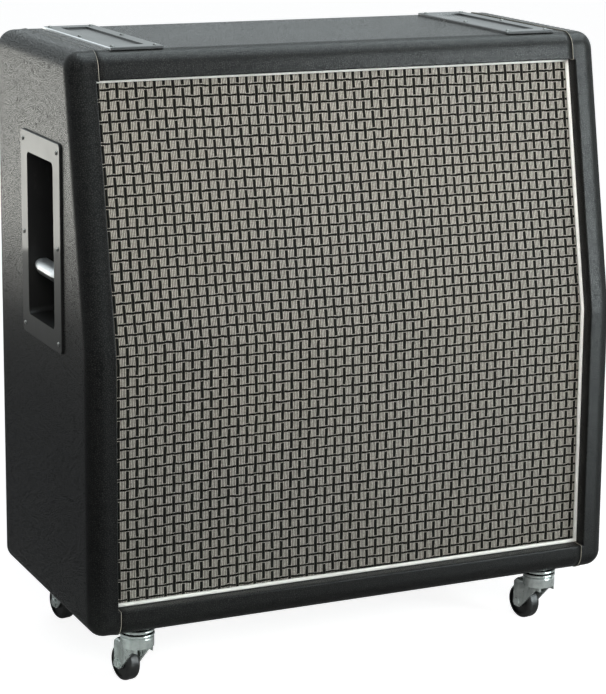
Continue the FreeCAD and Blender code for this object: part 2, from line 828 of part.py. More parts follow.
socket = new_body("socket")
SOCKET_HOLE = "(stem_radius + stem_fit)"
SOCKET_RADIUS = "(stem_radius + stem_fit + socket_wall)"
socket_corners = (
    (SOCKET_HOLE, "-socket_flange_thick"),
    ("socket_flange_radius", "-socket_flange_thick"),
    ("socket_flange_radius", "0"),
    (SOCKET_RADIUS, "0"),
    (SOCKET_RADIUS, STEM_TOP),
    (SOCKET_HOLE, STEM_TOP),
)
turn(socket, "socket_turn", outline(socket, "socket_profile", "XZ_Plane", socket_corners))
keep(links("socket_set", socket, axes), "caster_sockets")

stem = new_body("stem")
RACE_LOW = "(-fork_drop + crown_tall + race_gap)"
PIN_HEAD = "(-fork_drop - fork_sheet - kingpin_play)"
stem_corners = (
    ("0", STEM_TOP),
    ("stem_radius", STEM_TOP),
    ("stem_radius", "-socket_flange_thick"),
    ("race_radius", "-socket_flange_thick"),
    ("race_radius", RACE_LOW),
    ("stem_radius", RACE_LOW),
    ("stem_radius", PIN_HEAD),
    ("kingpin_head_radius", PIN_HEAD),
    ("kingpin_head_radius", "%s - kingpin_head_tall" % PIN_HEAD),
    ("0", "%s - kingpin_head_tall" % PIN_HEAD),
)
stem_turn = turn(stem, "stem_turn", outline(stem, "stem_profile", "XZ_Plane", stem_corners))
race_wide = 2 * size("race_radius")
ease(stem, "stem_race", stem_turn, "race_round", lambda edge: at(edge.BoundBox.XLength, race_wide))
keep(links("stem_set", stem, axes), "caster_stems")

LEG_OUT = "(fork_inside / 2 + fork_sheet)"


def steer(thing, x, y, level, behind="0"):
    """Place a caster's piece behind its swivel axis, turned as the casters stand."""
    thing.Placement = Placement(Vector(), Rotation(Vector(0, 0, 1), size("caster_turn")))
    bind(thing, "Placement.Rotation.Angle", "caster_turn * 1 deg")
    aside = "%s - %s * sin(caster_turn * 1 deg)" % (x, behind)
    place(thing, aside, "%s + %s * cos(caster_turn * 1 deg)" % (y, behind), level)


def fork(name, x, y):
    """A pressed fork: hooded legs with a raised crown round the stem."""
    body = new_body(name)
    drop = "(wheel_radius - %s)" % FORK_TOP
    corners = (
        ("-fork_front", "0"),
        ("-fork_front", "-fork_skirt"),
        ("trail - fork_foot - fork_neck", "-fork_skirt"),
        ("trail - fork_foot", "%s - fork_foot" % drop),
        ("trail + fork_foot", "%s - fork_foot" % drop),
        ("trail + fork_foot", "-fork_shoulder"),
        ("trail + fork_foot - fork_shoulder", "0"),
    )
    legs = pad(
        body,
        name + "_legs",
        outline(body, name + "_leg_line", "YZ_Plane", corners),
        "2 * " + LEG_OUT,
        middle=True,
    )
    foot_low = size("wheel_radius") - size("caster_height") + size("fork_drop") - size("fork_foot")

    def is_foot(edge):
        return along(edge, 0) and at(edge.BoundBox.ZMin, foot_low)

    def is_neck(edge):
        spot = edge.BoundBox
        back = size("trail") - size("fork_foot") - size("fork_neck")
        return along(edge, 0) and at(spot.YMin, back) and at(spot.ZMin, -size("fork_skirt"))

    swept = ease(body, name + "_sweep", legs, "fork_sweep", is_neck)
    feet = ease(body, name + "_feet", swept, "fork_foot - fork_sheet / 2", is_foot)
    width = 2 * (size("fork_inside") / 2 + size("fork_sheet"))

    def is_bend(edge):
        spot = edge.BoundBox
        return at(spot.ZMin, 0) and at(spot.ZMax, 0) and at(abs(spot.Center.x), width / 2)

    def is_front(edge):
        return along(edge, 2) and at(edge.BoundBox.YMax, -size("fork_front"))

    ease(body, name + "_bends", feet, "fork_bend", lambda edge: is_bend(edge) or is_front(edge))
    wheel_line = rectangle(
        body,
        name + "_wheel_line",
        "XY_Plane",
        "0",
        "0",
        "fork_inside",
        "4 * (trail + fork_foot)",
        "-fork_sheet",
    )
    pocket(body, name + "_wheel_room", wheel_line, "caster_height")
    crown_line = circle(body, name + "_crown_line", "XY_Plane", "0", "0", "crown_radius", "-fork_sheet")
    crown = pad(body, name + "_crown", crown_line, "crown_tall + fork_sheet")
    crown_high = size("crown_tall")
    ease(body, name + "_crown_edge", crown, "crown_round", lambda edge: at(edge.BoundBox.ZMin, crown_high))
    pin_line = circle(body, name + "_pin_line", "XY_Plane", "0", "0", SOCKET_HOLE, "crown_tall")
    pocket(body, name + "_pin_hole", pin_line, "crown_tall + 2 * fork_sheet")
    axle_line = circle(body, name + "_axle_line", "YZ_Plane", "trail", drop, "axle_radius + axle_fit")
    pocket(body, name + "_axle_hole", axle_line, "4 * " + LEG_OUT, middle=True)
    steer(body, x, y, FORK_TOP)
    return body


def axle(name, x, y):
    """A rivet through the fork and the wheel."""
    body = new_body(name)
    end = "(%s + axle_head_tall)" % LEG_OUT
    corners = (
        ("-" + end, "0"),
        ("-" + end, "axle_head_radius"),
        ("-" + LEG_OUT, "axle_head_radius"),
        ("-" + LEG_OUT, "axle_radius"),
        (LEG_OUT, "axle_radius"),
        (LEG_OUT, "axle_head_radius"),
        (end, "axle_head_radius"),
        (end, "0"),
    )
    profile = outline(body, name + "_profile", "XZ_Plane", corners)
    whole = turn(body, name + "_turn", profile, "H_Axis")
    tip = size("fork_inside") / 2 + size("fork_sheet") + size("axle_head_tall")
    ease(
        body,
        name + "_heads",
        whole,
        "axle_head_tall / 2",
        lambda edge: at(abs(edge.BoundBox.Center.x), tip),
    )
    steer(body, x, y, "wheel_radius", "trail")
    return body


def wheel(name, x, y):
    """A crowned wheel with hollow faces and a hub between the fork legs."""
    body = new_body(name)
    bore, half = "(axle_radius + axle_fit)", "(wheel_wide / 2)"
    hub_end, inner = "(fork_inside / 2 - hub_play)", "(wheel_radius - wheel_rim)"
    corners = (
        ("-" + hub_end, bore),
        ("-" + hub_end, "hub_radius"),
        ("-%s + wheel_dish" % half, "hub_radius"),
        ("-%s + wheel_dish" % half, inner),
        ("-" + half, inner),
        ("-" + half, "wheel_radius"),
        (half, "wheel_radius"),
        (half, inner),
        ("%s - wheel_dish" % half, inner),
        ("%s - wheel_dish" % half, "hub_radius"),
        (hub_end, "hub_radius"),
        (hub_end, bore),
    )
    profile = outline(body, name + "_profile", "XZ_Plane", corners)
    whole = turn(body, name + "_turn", profile, "H_Axis")
    tread = 2 * size("wheel_radius")
    ease(
        body,
        name + "_tread",
        whole,
        "min(wheel_crown; wheel_rim - axle_fit; wheel_wide / 2 - axle_fit)",
        lambda edge: at(edge.BoundBox.YLength, tread) and at(edge.BoundBox.ZLength, tread),
    )
    steer(body, x, y, "wheel_radius", "trail")
    return body


for label, x, y in CASTERS:
    keep(fork("fork_body_" + label, x, y), "caster_fork_" + label)
    keep(axle("axle_body_" + label, x, y), "caster_axle_" + label)
    keep(wheel("wheel_body_" + label, x, y), "caster_wheel_" + label)

socket_rods = [
    rod("socket_hole_%d" % number, "%s + socket_fit" % SOCKET_RADIUS, STEM_TOP, spot)
    for number, spot in enumerate(axes, start=1)
]
socket_holes = group("socket_holes", socket_rods)

# The ply shell: the sleeve of the timber form, split into four panels.
sleeve = cut("sleeve", timber_form, hollow)
OVER = ("%s - body_height" % FLOOR, "%s + body_height" % ROOF)
HALF_LEVEL = "(%s + body_height / 2)" % FLOOR
left_zone = block("left_zone", ("-body_width", "-" + HOLLOW_SIDE), THROUGH, OVER)
right_zone = block("right_zone", (HOLLOW_SIDE, "body_width"), THROUGH, OVER)
top_zone = block("top_zone", ("-" + HOLLOW_SIDE, HOLLOW_SIDE), THROUGH, (HALF_LEVEL, OVER[1]))
bottom_zone = block("bottom_zone", ("-" + HOLLOW_SIDE, HOLLOW_SIDE), THROUGH, (OVER[0], HALF_LEVEL))
keep(cut("left_panel", common("left_board", [sleeve, left_zone]), left_side_tools), "side_panel_left")
keep(cut("right_panel", common("right_board", [sleeve, right_zone]), right_side_tools), "side_panel_right")
keep(cut("upper_panel", common("top_board", [sleeve, top_zone]), stack_holes), "top_panel")
keep(cut("lower_panel", common("bottom_board", [sleeve, bottom_zone]), socket_holes), "bottom_panel")

# Battens that build up the front lip behind the covering.
batten_stock = common("batten_stock", [timber_form, hollow, lip_band])
batten_ring = cut("batten_ring", batten_stock, timber_mouth)
MOUTH_SIDE = "(%s - %s)" % (SIDE, TIMBER_RIM)
upright_left = block("upright_left", ("-body_width", "-" + MOUTH_SIDE), THROUGH, OVER)
upright_right = block("upright_right", (MOUTH_SIDE, "body_width"), THROUGH, OVER)
rail_top = block("rail_top", ("-" + MOUTH_SIDE, MOUTH_SIDE), THROUGH, (HALF_LEVEL, OVER[1]))
rail_bottom = block("rail_bottom", ("-" + MOUTH_SIDE, MOUTH_SIDE), THROUGH, (OVER[0], HALF_LEVEL))
battens = [
    common("batten_%d" % number, [batten_ring, zone])
    for number, zone in enumerate((upright_left, upright_right, rail_top, rail_bottom), start=1)
]
keep(group("batten_set", battens), "front_battens")

# Vinyl covering: a skin over the timber, turned over the back edges and lining the mouth, in four sheets.
skin = cut("skin", outer_form, timber_form)
open_skin = cut("open_skin", cut("skin_less_mouth", skin, lined_mouth), rear_hollow)
lining_ring = cut("lining_ring", timber_mouth, lined_mouth)
lining = common("lining", [outer_form, lip_band, lining_ring])
covering = fuse("covering", [open_skin, lining])
left_sheet = block("left_sheet", ("-body_width", "-" + SEAM), THROUGH, OVER)
right_sheet = block("right_sheet", (SEAM, "body_width"), THROUGH, OVER)
top_sheet = block("top_sheet", ("-" + SEAM, SEAM), THROUGH, (HALF_LEVEL, OVER[1]))
bottom_sheet = block("bottom_sheet", ("-" + SEAM, SEAM), THROUGH, (OVER[0], HALF_LEVEL))
keep(
    cut("covering_sheet_left", common("cover_left", [covering, left_sheet]), left_side_tools),
    "covering_left",
)
keep(
    cut("covering_sheet_right", common("cover_right", [covering, right_sheet]), right_side_tools),
    "covering_right",
)
keep(cut("covering_sheet_top", common("cover_top", [covering, top_sheet]), stack_holes), "covering_top")
keep(
    cut("covering_sheet_bottom", common("cover_bottom", [covering, bottom_sheet]), socket_holes),
    "covering_bottom",
)

# Baffle boards, mitred at the kink, with the driver holes and the cleats behind them.
DRIVER_X = "(%s / 2)" % CLEAT_SIDE
DRIVERS = []
for row in ("lower", "upper"):
    for label, side in SIDES:
        if row == "lower":
            level = "((%s + %s) / 2)" % (HOLLOW_FLOOR, kink(BAFFLE_BACK))
            depth, tilt = upright(BAFFLE_BACK), "90 deg"
        else:
            level = "((%s + %s) / 2)" % (HOLLOW_ROOF, kink(BAFFLE_BACK))
            depth, tilt = leaning(BAFFLE_BACK, level), "90 deg - " + LEAN
        DRIVERS.append(("%s_%s" % (row, label), side + DRIVER_X, depth, level, tilt))


def on_driver(thing, driver):
    """Put a thing on a driver's axis, its own +Z pointing out of the front."""
    label, x, y, z, tilt = driver
    thing.Placement = Placement(Vector(), TURNS["front"])
    bind(thing, "Placement.Rotation.Angle", tilt)
    place(thing, x, y, z)
    return thing


def front_board(name, near, far, row, side):
    """A layer behind the lower or the leaning front, mitred at the kink."""
    body = new_body(name)
    if row == "lower":
        end_near, end_far, end = upright(near), upright(far), HOLLOW_FLOOR
    else:
        end_near, end_far, end = leaning(near, HOLLOW_ROOF), leaning(far, HOLLOW_ROOF), HOLLOW_ROOF
    corners = (
        (end_near, end),
        (upright(near), kink(near)),
        (upright(far), kink(far)),
        (end_far, end),
    )
    pad(
        body,
        name + "_pad",
        outline(body, name + "_profile", "YZ_Plane", corners),
        "2 * %s" % side,
        middle=True,
    )
    return body


BAFFLE_SIDE = "(%s - baffle_gap)" % HOLLOW_SIDE
cleat_window = block(
    "cleat_window",
    ("-" + CLEAT_SIDE, CLEAT_SIDE),
    THROUGH,
    ("%s + cleat_wide" % HOLLOW_FLOOR, "%s - cleat_wide" % HOLLOW_ROOF),
)
DRIVER_SCREWS = []
for corner in range(4):
    turned = "%d deg" % (45 + 90 * corner)
    DRIVER_SCREWS.append(("driver_bolt_radius * cos(%s)" % turned, "driver_bolt_radius * sin(%s)" % turned))


def driver_set(name, source_maker):
    """One thing for each driver, in the driver's own frame."""
    return [on_driver(source_maker("%s_%s" % (name, driver[0])), driver) for driver in DRIVERS]


def baffle_hole(name):
    """The hole for a driver, with its screw holes, through the baffle in front of the driver."""
    body = new_body(name)
    main = circle(body, name + "_line", "XY_Plane", "0", "0", "cutout_radius", "-baffle_thick")
    pad(body, name + "_pad", main, "3 * baffle_thick")
    return body


def screw_pattern(name, radius, low, high):
    """Four rods on a driver's bolt circle."""
    body = new_body(name)
    body.AllowCompound = True
    for number, (across, along_side) in enumerate(DRIVER_SCREWS, start=1):
        line = circle(body, "%s_line_%d" % (name, number), "XY_Plane", across, along_side, radius, low)
        pad(body, "%s_rod_%d" % (name, number), line, "%s - (%s)" % (high, low))
    return body


BITE = "(screw_long - basket_sheet)"
hole_bodies = driver_set("baffle_hole", baffle_hole)
bite_bodies = driver_set(
    "screw_bite", lambda name: screw_pattern(name, HOLE, "-basket_sheet", "%s + screw_fit" % BITE)
)
for row in ("lower", "upper"):
    board = front_board("board_" + row, CLOTH_BACK, BAFFLE_BACK, row, BAFFLE_SIDE)
    picks = [number for number, driver in enumerate(DRIVERS) if driver[0].startswith(row)]
    bored = cut("bored_" + row, board, group("bores_" + row, [hole_bodies[number] for number in picks]))
    bites = group("bites_" + row, [bite_bodies[number] for number in picks])
    keep(cut("baffle_board_" + row, bored, bites), "baffle_" + row)
cleats = [
    cut(
        "cleat_" + row,
        front_board("cleat_stock_" + row, BAFFLE_BACK, CLEAT_BACK, row, HOLLOW_SIDE),
        cleat_window,
    )
    for row in ("lower", "upper")
]
keep(group("baffle_cleat_set", cleats), "baffle_cleats")

# Grille cloth over the baffle, and the piping that edges it.
CLOTH_RIM = "(%s + cloth_gap)" % LIP
PIPE_RIM = "(%s + piping_gap)" % LIP


def in_from(rim):
    """Side, floor and roof of a front opening, a rim in from the body's outside."""
    return "(%s - %s)" % (SIDE, rim), "(%s + %s)" % (FLOOR, rim), "(%s - %s)" % (ROOF, rim)


keep(front_band("cloth_sheet", "recess_deep", CLOTH_BACK, *in_from(CLOTH_RIM)), "grille_cloth")
piping_stock = front_band("piping_stock", "(recess_deep - piping_tall)", "recess_deep", *in_from(PIPE_RIM))
piping_window = mouth("piping_window", "(%s + piping_wide)" % PIPE_RIM)
keep(cut("piping_loop", piping_stock, piping_window), "piping")

# Drivers, each with its flange on the back of a baffle board.
def basket(name):
    """A pressed basket with four windows and four screw holes."""
    body = new_body(name)
    slope_in = "(basket_shelf_radius + basket_sheet)"
    corners = (
        ("driver_radius", "0"),
        ("driver_radius", "-basket_sheet"),
        ("basket_rim_radius + basket_sheet", "-basket_sheet"),
        ("basket_rim_radius + basket_sheet", "-basket_ledge_deep - basket_sheet"),
        (slope_in, "-basket_shelf_deep - basket_sheet"),
        ("basket_neck_radius + basket_sheet", "-basket_shelf_deep - basket_sheet"),
        ("basket_neck_radius + basket_sheet", "-basket_deep - basket_sheet"),
        ("basket_hole_radius", "-basket_deep - basket_sheet"),
        ("basket_hole_radius", "-basket_deep"),
        ("basket_neck_radius", "-basket_deep"),
        ("basket_neck_radius", "-basket_shelf_deep"),
        ("basket_shelf_radius", "-basket_shelf_deep"),
        ("basket_ledge_radius", "-basket_ledge_deep"),
        ("basket_rim_radius", "-basket_ledge_deep"),
        ("basket_rim_radius", "0"),
    )
    turn(body, name + "_turn", outline(body, name + "_profile", "XZ_Plane", corners))
    middle = "((window_near_radius + window_far_radius) / 2)"
    span = "(window_far_radius - window_near_radius)"
    for number, (x, y, wide, tall) in enumerate(
        (
            (middle, "0", span, "window_wide"),
            ("-" + middle, "0", span, "window_wide"),
            ("0", middle, "window_wide", span),
            ("0", "-" + middle, "window_wide", span),
        ),
        start=1,
    ):
        line = rectangle(
            body,
            "%s_window_line_%d" % (name, number),
            "XY_Plane",
            x,
            y,
            wide,
            tall,
            "-basket_ledge_deep",
        )
        pocket(
            body,
            "%s_window_%d" % (name, number),
            line,
            "basket_shelf_deep - basket_ledge_deep - basket_sheet",
        )
    for number, (across, along_side) in enumerate(DRIVER_SCREWS, start=1):
        line = circle(body, "%s_hole_line_%d" % (name, number), "XY_Plane", across, along_side, HOLE)
        pocket(body, "%s_hole_%d" % (name, number), line, "basket_sheet")
    return body


def magnet(name):
    """Pole plates, magnet ring and centre pole with the gap for the coil."""
    body = new_body(name)
    top = "(-basket_deep - basket_sheet)"
    ring_high = "(%s - plate_thick)" % top
    ring_low = "(%s - magnet_thick)" % ring_high
    end = "(%s - plate_thick)" % ring_low
    corners = (
        ("0", top),
        ("pole_radius", top),
        ("pole_radius", "%s - gap_deep" % top),
        ("gap_radius", "%s - gap_deep" % top),
        ("gap_radius", top),
        ("plate_radius", top),
        ("plate_radius", ring_high),
        ("magnet_radius", ring_high),
        ("magnet_radius", ring_low),
        ("plate_radius", ring_low),
        ("plate_radius", end),
        ("0", end),
    )
    turn(body, name + "_turn", outline(body, name + "_profile", "XZ_Plane", corners))
    return body


CONE_TOP = "(-basket_ledge_deep + cone_thick)"
NECK = "(%s - cone_deep)" % CONE_TOP
COIL_OUT = "(coil_radius + coil_thick)"


def cone(name):
    """A paper cone with a rolled edge and the coil former at its neck."""
    body = new_body(name)
    edge = "(basket_rim_radius - cone_edge_gap)"
    roll = "((basket_ledge_radius + cone_edge_radius) / 2)"
    corners = (
        (edge, CONE_TOP),
        ("basket_ledge_radius", CONE_TOP),
        (roll, "%s + surround_tall" % CONE_TOP),
        ("cone_edge_radius", CONE_TOP),
        (COIL_OUT, NECK),
        ("coil_radius", NECK),
        ("coil_radius", "%s - coil_long" % NECK),
        (COIL_OUT, "%s - coil_long" % NECK),
        (COIL_OUT, "%s - cone_thick" % NECK),
        ("cone_edge_radius", "%s - cone_thick" % CONE_TOP),
        (roll, "%s + surround_tall - cone_thick" % CONE_TOP),
        ("basket_ledge_radius", "%s - cone_thick" % CONE_TOP),
        (edge, "%s - cone_thick" % CONE_TOP),
    )
    turn(body, name + "_turn", outline(body, name + "_profile", "XZ_Plane", corners))
    return body


def dust_cap(name):
    """A domed cap glued on the cone."""
    body = new_body(name)
    slope = "(cone_deep / (cone_edge_radius - %s))" % COIL_OUT
    seat = "(%s + (cap_radius - %s) * %s)" % (NECK, COIL_OUT, slope)
    corners = (
        ("cap_radius", seat),
        ("cap_radius * cos(30 deg)", "%s + cap_tall * sin(30 deg)" % seat),
        ("cap_radius * cos(60 deg)", "%s + cap_tall * sin(60 deg)" % seat),
        ("0", "%s + cap_tall" % seat),
        ("0", "%s + cap_tall - cone_thick" % seat),
        ("cap_radius * cos(60 deg)", "%s + cap_tall * sin(60 deg) - cone_thick" % seat),
        ("cap_radius * cos(30 deg) - cone_thick", "%s + cap_tall * sin(30 deg) - cone_thick" % seat),
        ("cap_radius - cone_thick", "%s - cone_thick * %s" % (seat, slope)),
    )
    turn(body, name + "_turn", outline(body, name + "_profile", "XZ_Plane", corners))
    return body


def spider(name):
    """A flat suspension ring between the coil former and the basket's shelf."""
    body = new_body(name)
    low, high = "(-basket_shelf_deep)", "(-basket_shelf_deep + spider_thick)"
    near, far = "(%s + spider_gap)" % COIL_OUT, "(basket_shelf_radius - spider_gap)"
    corners = ((near, low), (far, low), (far, high), (near, high))
    turn(body, name + "_turn", outline(body, name + "_profile", "XZ_Plane", corners))
    return body


def driver_screws(name):
    """Four screws through a basket's flange, heads behind it."""
    body = new_body(name)
    body.AllowCompound = True
    for number, (across, along_side) in enumerate(DRIVER_SCREWS, start=1):
        head = circle(
            body,
            "%s_head_line_%d" % (name, number),
            "XY_Plane",
            across,
            along_side,
            "screw_head_radius",
            "-basket_sheet",
        )
        pad(body, "%s_head_%d" % (name, number), head, "screw_head_tall", reverse=True)
        shank = circle(
            body,
            "%s_shank_line_%d" % (name, number),
            "XY_Plane",
            across,
            along_side,
            "screw_radius",
            "-basket_sheet",
        )
        pad(body, "%s_shank_%d" % (name, number), shank, "screw_long")
    return body


for maker, stem_name in ((basket, "driver_basket"), (magnet, "driver_magnet"), (cone, "driver_cone")):
    for driver in DRIVERS:
        keep(
            on_driver(maker("%s_body_%s" % (stem_name, driver[0])), driver),
            "%s_%s" % (stem_name, driver[0]),
        )
keep(group("cap_set", driver_set("cap", dust_cap)), "driver_dust_caps")
keep(group("spider_set", driver_set("spider", spider)), "driver_spiders")
keep(group("driver_screw_set", driver_set("driver_screw", driver_screws)), "driver_screws")

# Back panel in the shell, on its cleats, with the jack in the middle.
BACK_OUT = "(%s - back_inset)" % BACK
BACK_IN = "(%s - back_inset - back_thick)" % BACK
CLEAT_IN = "(%s - cleat_wide)" % BACK_IN
JACK_Z = "(%s - jack_drop)" % KINK
back_board = block(
    "back_board",
    ("-%s + back_gap" % HOLLOW_SIDE, "%s - back_gap" % HOLLOW_SIDE),
    (BACK_IN, BACK_OUT),
    ("%s + back_gap" % HOLLOW_FLOOR, "%s - back_gap" % HOLLOW_ROOF),
)
jack_window = rod(
    "jack_window",
    "jack_hole_wide / 2",
    "4 * back_thick",
    ("0", "%s - back_thick" % BACK_IN, JACK_Z),
    "back",
)
SCREW_X = "(%s - back_screw_inset)" % HOLLOW_SIDE
SCREW_LOW = "(%s + back_screw_inset)" % HOLLOW_FLOOR
SCREW_HIGH = "(%s - back_screw_inset)" % HOLLOW_ROOF
back_spots = []
across_shares = ("-1", "-0.5", "0", "0.5", "1")
upright_shares = ("0.25", "0.5", "0.75")
for level in (SCREW_LOW, SCREW_HIGH):
    for share in across_shares:
        back_spots.append(("%s * %s" % (share, SCREW_X), BACK_OUT, level))
for x in ("-" + SCREW_X, SCREW_X):
    for share in upright_shares:
        back_spots.append((x, BACK_OUT, "%s + %s * (%s - %s)" % (SCREW_LOW, share, SCREW_HIGH, SCREW_LOW)))
LONG_BACK = "(back_thick + screw_long)"
back_screw = wood_screw("back_screw", LONG_BACK)
back_holes = screw_holes("back_holes", back_spots, "%s + screw_fit" % LONG_BACK, "front")
jack_spots = []
for x in ("-jack_screw_wide / 2", "jack_screw_wide / 2"):
    for step in ("- jack_screw_tall / 2", "+ jack_screw_tall / 2"):
        jack_spots.append((x, "%s + jack_plate_thick" % BACK_OUT, "%s %s" % (JACK_Z, step)))
jack_holes = screw_holes("jack_holes", jack_spots, SHORT_HOLE, "front")
back_tools = group("back_tools", [jack_window, back_holes, jack_holes])
keep(cut("back_board_cut", back_board, back_tools), "back_panel")
cleat_stock = block(
    "back_cleat_stock",
    ("-" + HOLLOW_SIDE, HOLLOW_SIDE),
    (CLEAT_IN, BACK_IN),
    (HOLLOW_FLOOR, HOLLOW_ROOF),
)
keep(cut("back_cleat_cut", cut("back_cleat_ring", cleat_stock, cleat_window), back_holes), "back_cleats")
keep(links("back_screw_set", back_screw, back_spots, "back"), "back_panel_screws")

# Centre brace from the baffle joint to the back panel.
brace_stock = block(
    "brace_stock",
    ("-brace_wide / 2", "brace_wide / 2"),
    (FRONT, BACK_IN),
    ("%s - brace_wide / 2" % kink(BAFFLE_BACK), "%s + brace_wide / 2" % kink(BAFFLE_BACK)),
)
brace_front = front_band("brace_front", "-body_depth", BAFFLE_BACK, SIDE, FLOOR, ROOF)
keep(cut("brace", brace_stock, brace_front), "centre_brace")

# Jack: a plate on the back panel, the socket through it and the nut outside.
jack_plate = new_body("jack_plate_body")
plate_line = rectangle(
    jack_plate,
    "jack_plate_line",
    "XZ_Plane",
    "0",
    "0",
    "jack_plate_wide",
    "jack_plate_tall",
)
plate_slab = pad(jack_plate, "jack_plate_slab", plate_line, "jack_plate_thick", reverse=True)
ease(jack_plate, "jack_plate_corners", plate_slab, "jack_plate_round", lambda edge: along(edge, 1))
place(jack_plate, "0", BACK_OUT, JACK_Z)
bush_hole = rod(
    "bush_hole",
    "jack_thread_radius + jack_fit",
    "4 * back_thick",
    ("0", BACK_IN, JACK_Z),
    "back",
)
keep(cut("jack_plate_cut", jack_plate, group("plate_tools", [bush_hole, jack_holes])), "jack_plate")
keep(links("jack_screw_set", short_screw, jack_spots, "back"), "jack_plate_screws")

jack = new_body("jack_body")
box_line = rectangle(jack, "jack_box_line", "XZ_Plane", "0", "0", "jack_body_wide", "jack_body_wide")
pad(jack, "jack_box", box_line, "jack_body_long")
bush_line = circle(jack, "jack_bush_line", "XZ_Plane", "0", "0", "jack_thread_radius")
pad(jack, "jack_bush", bush_line, "jack_plate_thick + jack_bush_out", reverse=True)
bore_line = circle(jack, "jack_bore_line", "XZ_Plane", "0", "0", "jack_bore_radius")
pocket(jack, "jack_bore", bore_line, "2 * (jack_body_long + jack_bush_out)", middle=True)
place(jack, "0", BACK_OUT, JACK_Z)
keep(jack, "jack_socket")

nut = new_body("jack_nut_body")
hexagon = [
    (
        "jack_nut_flat / cos(30 deg) * cos(%d deg)" % turned,
        "jack_nut_flat / cos(30 deg) * sin(%d deg)" % turned,
    )
    for turned in range(0, 360, 60)
]
pad(nut, "jack_nut_pad", outline(nut, "jack_nut_line", "XZ_Plane", hexagon), "jack_nut_tall", reverse=True)
nut_hole = circle(nut, "jack_nut_hole_line", "XZ_Plane", "0", "0", "jack_thread_radius + jack_fit")
pocket(nut, "jack_nut_hole", nut_hole, "4 * jack_nut_tall", middle=True)
place(nut, "0", "%s + jack_plate_thick" % BACK_OUT, JACK_Z)
keep(nut, "jack_nut")

doc.recompute()

for thing in doc.Objects:
    if "Invalid" in thing.State or "Error" in thing.State:
        raise RuntimeError("%s did not build" % thing.Name)
for thing in SUB_PARTS:
    shape = thing.Shape
    if shape.isNull() or not shape.isValid() or not shape.Solids:
        raise RuntimeError("%s is not a sound solid" % thing.Label)
for thing in SUB_PARTS:
    thing.Shape.exportStep("parts/%s.step" % thing.Label)
print("wrote", len(SUB_PARTS), "sub-parts")
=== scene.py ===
"""Angled-front guitar speaker cabinet on casters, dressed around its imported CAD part.

The vinyl covering, the stretched grille cloth, its piping, the screws and the turned races of the
casters are surfaces worked out here. The other pieces keep their CAD shape and get a finish.
"""

import math

import bmesh
import bpy
import numpy as np
from bpy.props import FloatProperty, FloatVectorProperty, PointerProperty
from mathutils import Matrix, Vector


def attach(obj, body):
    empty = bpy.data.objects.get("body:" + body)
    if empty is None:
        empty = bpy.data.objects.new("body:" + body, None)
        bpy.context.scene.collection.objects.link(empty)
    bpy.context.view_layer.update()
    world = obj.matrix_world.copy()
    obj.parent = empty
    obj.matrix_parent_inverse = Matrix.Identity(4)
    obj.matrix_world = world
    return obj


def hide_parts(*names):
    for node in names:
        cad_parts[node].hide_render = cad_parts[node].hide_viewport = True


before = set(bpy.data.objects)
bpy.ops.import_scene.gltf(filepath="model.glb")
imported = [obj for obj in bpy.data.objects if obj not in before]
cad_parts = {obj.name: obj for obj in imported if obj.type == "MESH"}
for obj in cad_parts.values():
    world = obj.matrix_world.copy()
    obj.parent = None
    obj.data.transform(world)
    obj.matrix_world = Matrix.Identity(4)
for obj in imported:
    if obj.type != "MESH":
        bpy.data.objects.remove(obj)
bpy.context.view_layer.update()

bl_info = {
    "name": "Angled speaker cabinet",
    "version": (1, 0, 0),
    "blender": (4, 5, 0),
    "location": "View3D > Sidebar > Cabinet",
    "description": "Builds the covering, cloth, piping, screws, caster races and finishes of a cabinet",
    "category": "Object",
}


def length(label, words, metres):
    """A length that a user may change."""
    return FloatProperty(name=label, description=words, default=metres, min=0.0, precision=4, unit="LENGTH")


def plain(label, words, number):
    """A bare number that a user may change."""
    return FloatProperty(name=label, description=words, default=number)


def watts(label, words, power):
    """The power of a lamp."""
    return FloatProperty(name=label, description=words, default=power, min=0.0, unit="POWER")


def colour(label, words, rgb):
    """A linear colour that a user may change."""
    return FloatVectorProperty(
        name=label, description=words, default=rgb, size=3, min=0.0, max=1.0, subtype="COLOR"
    )


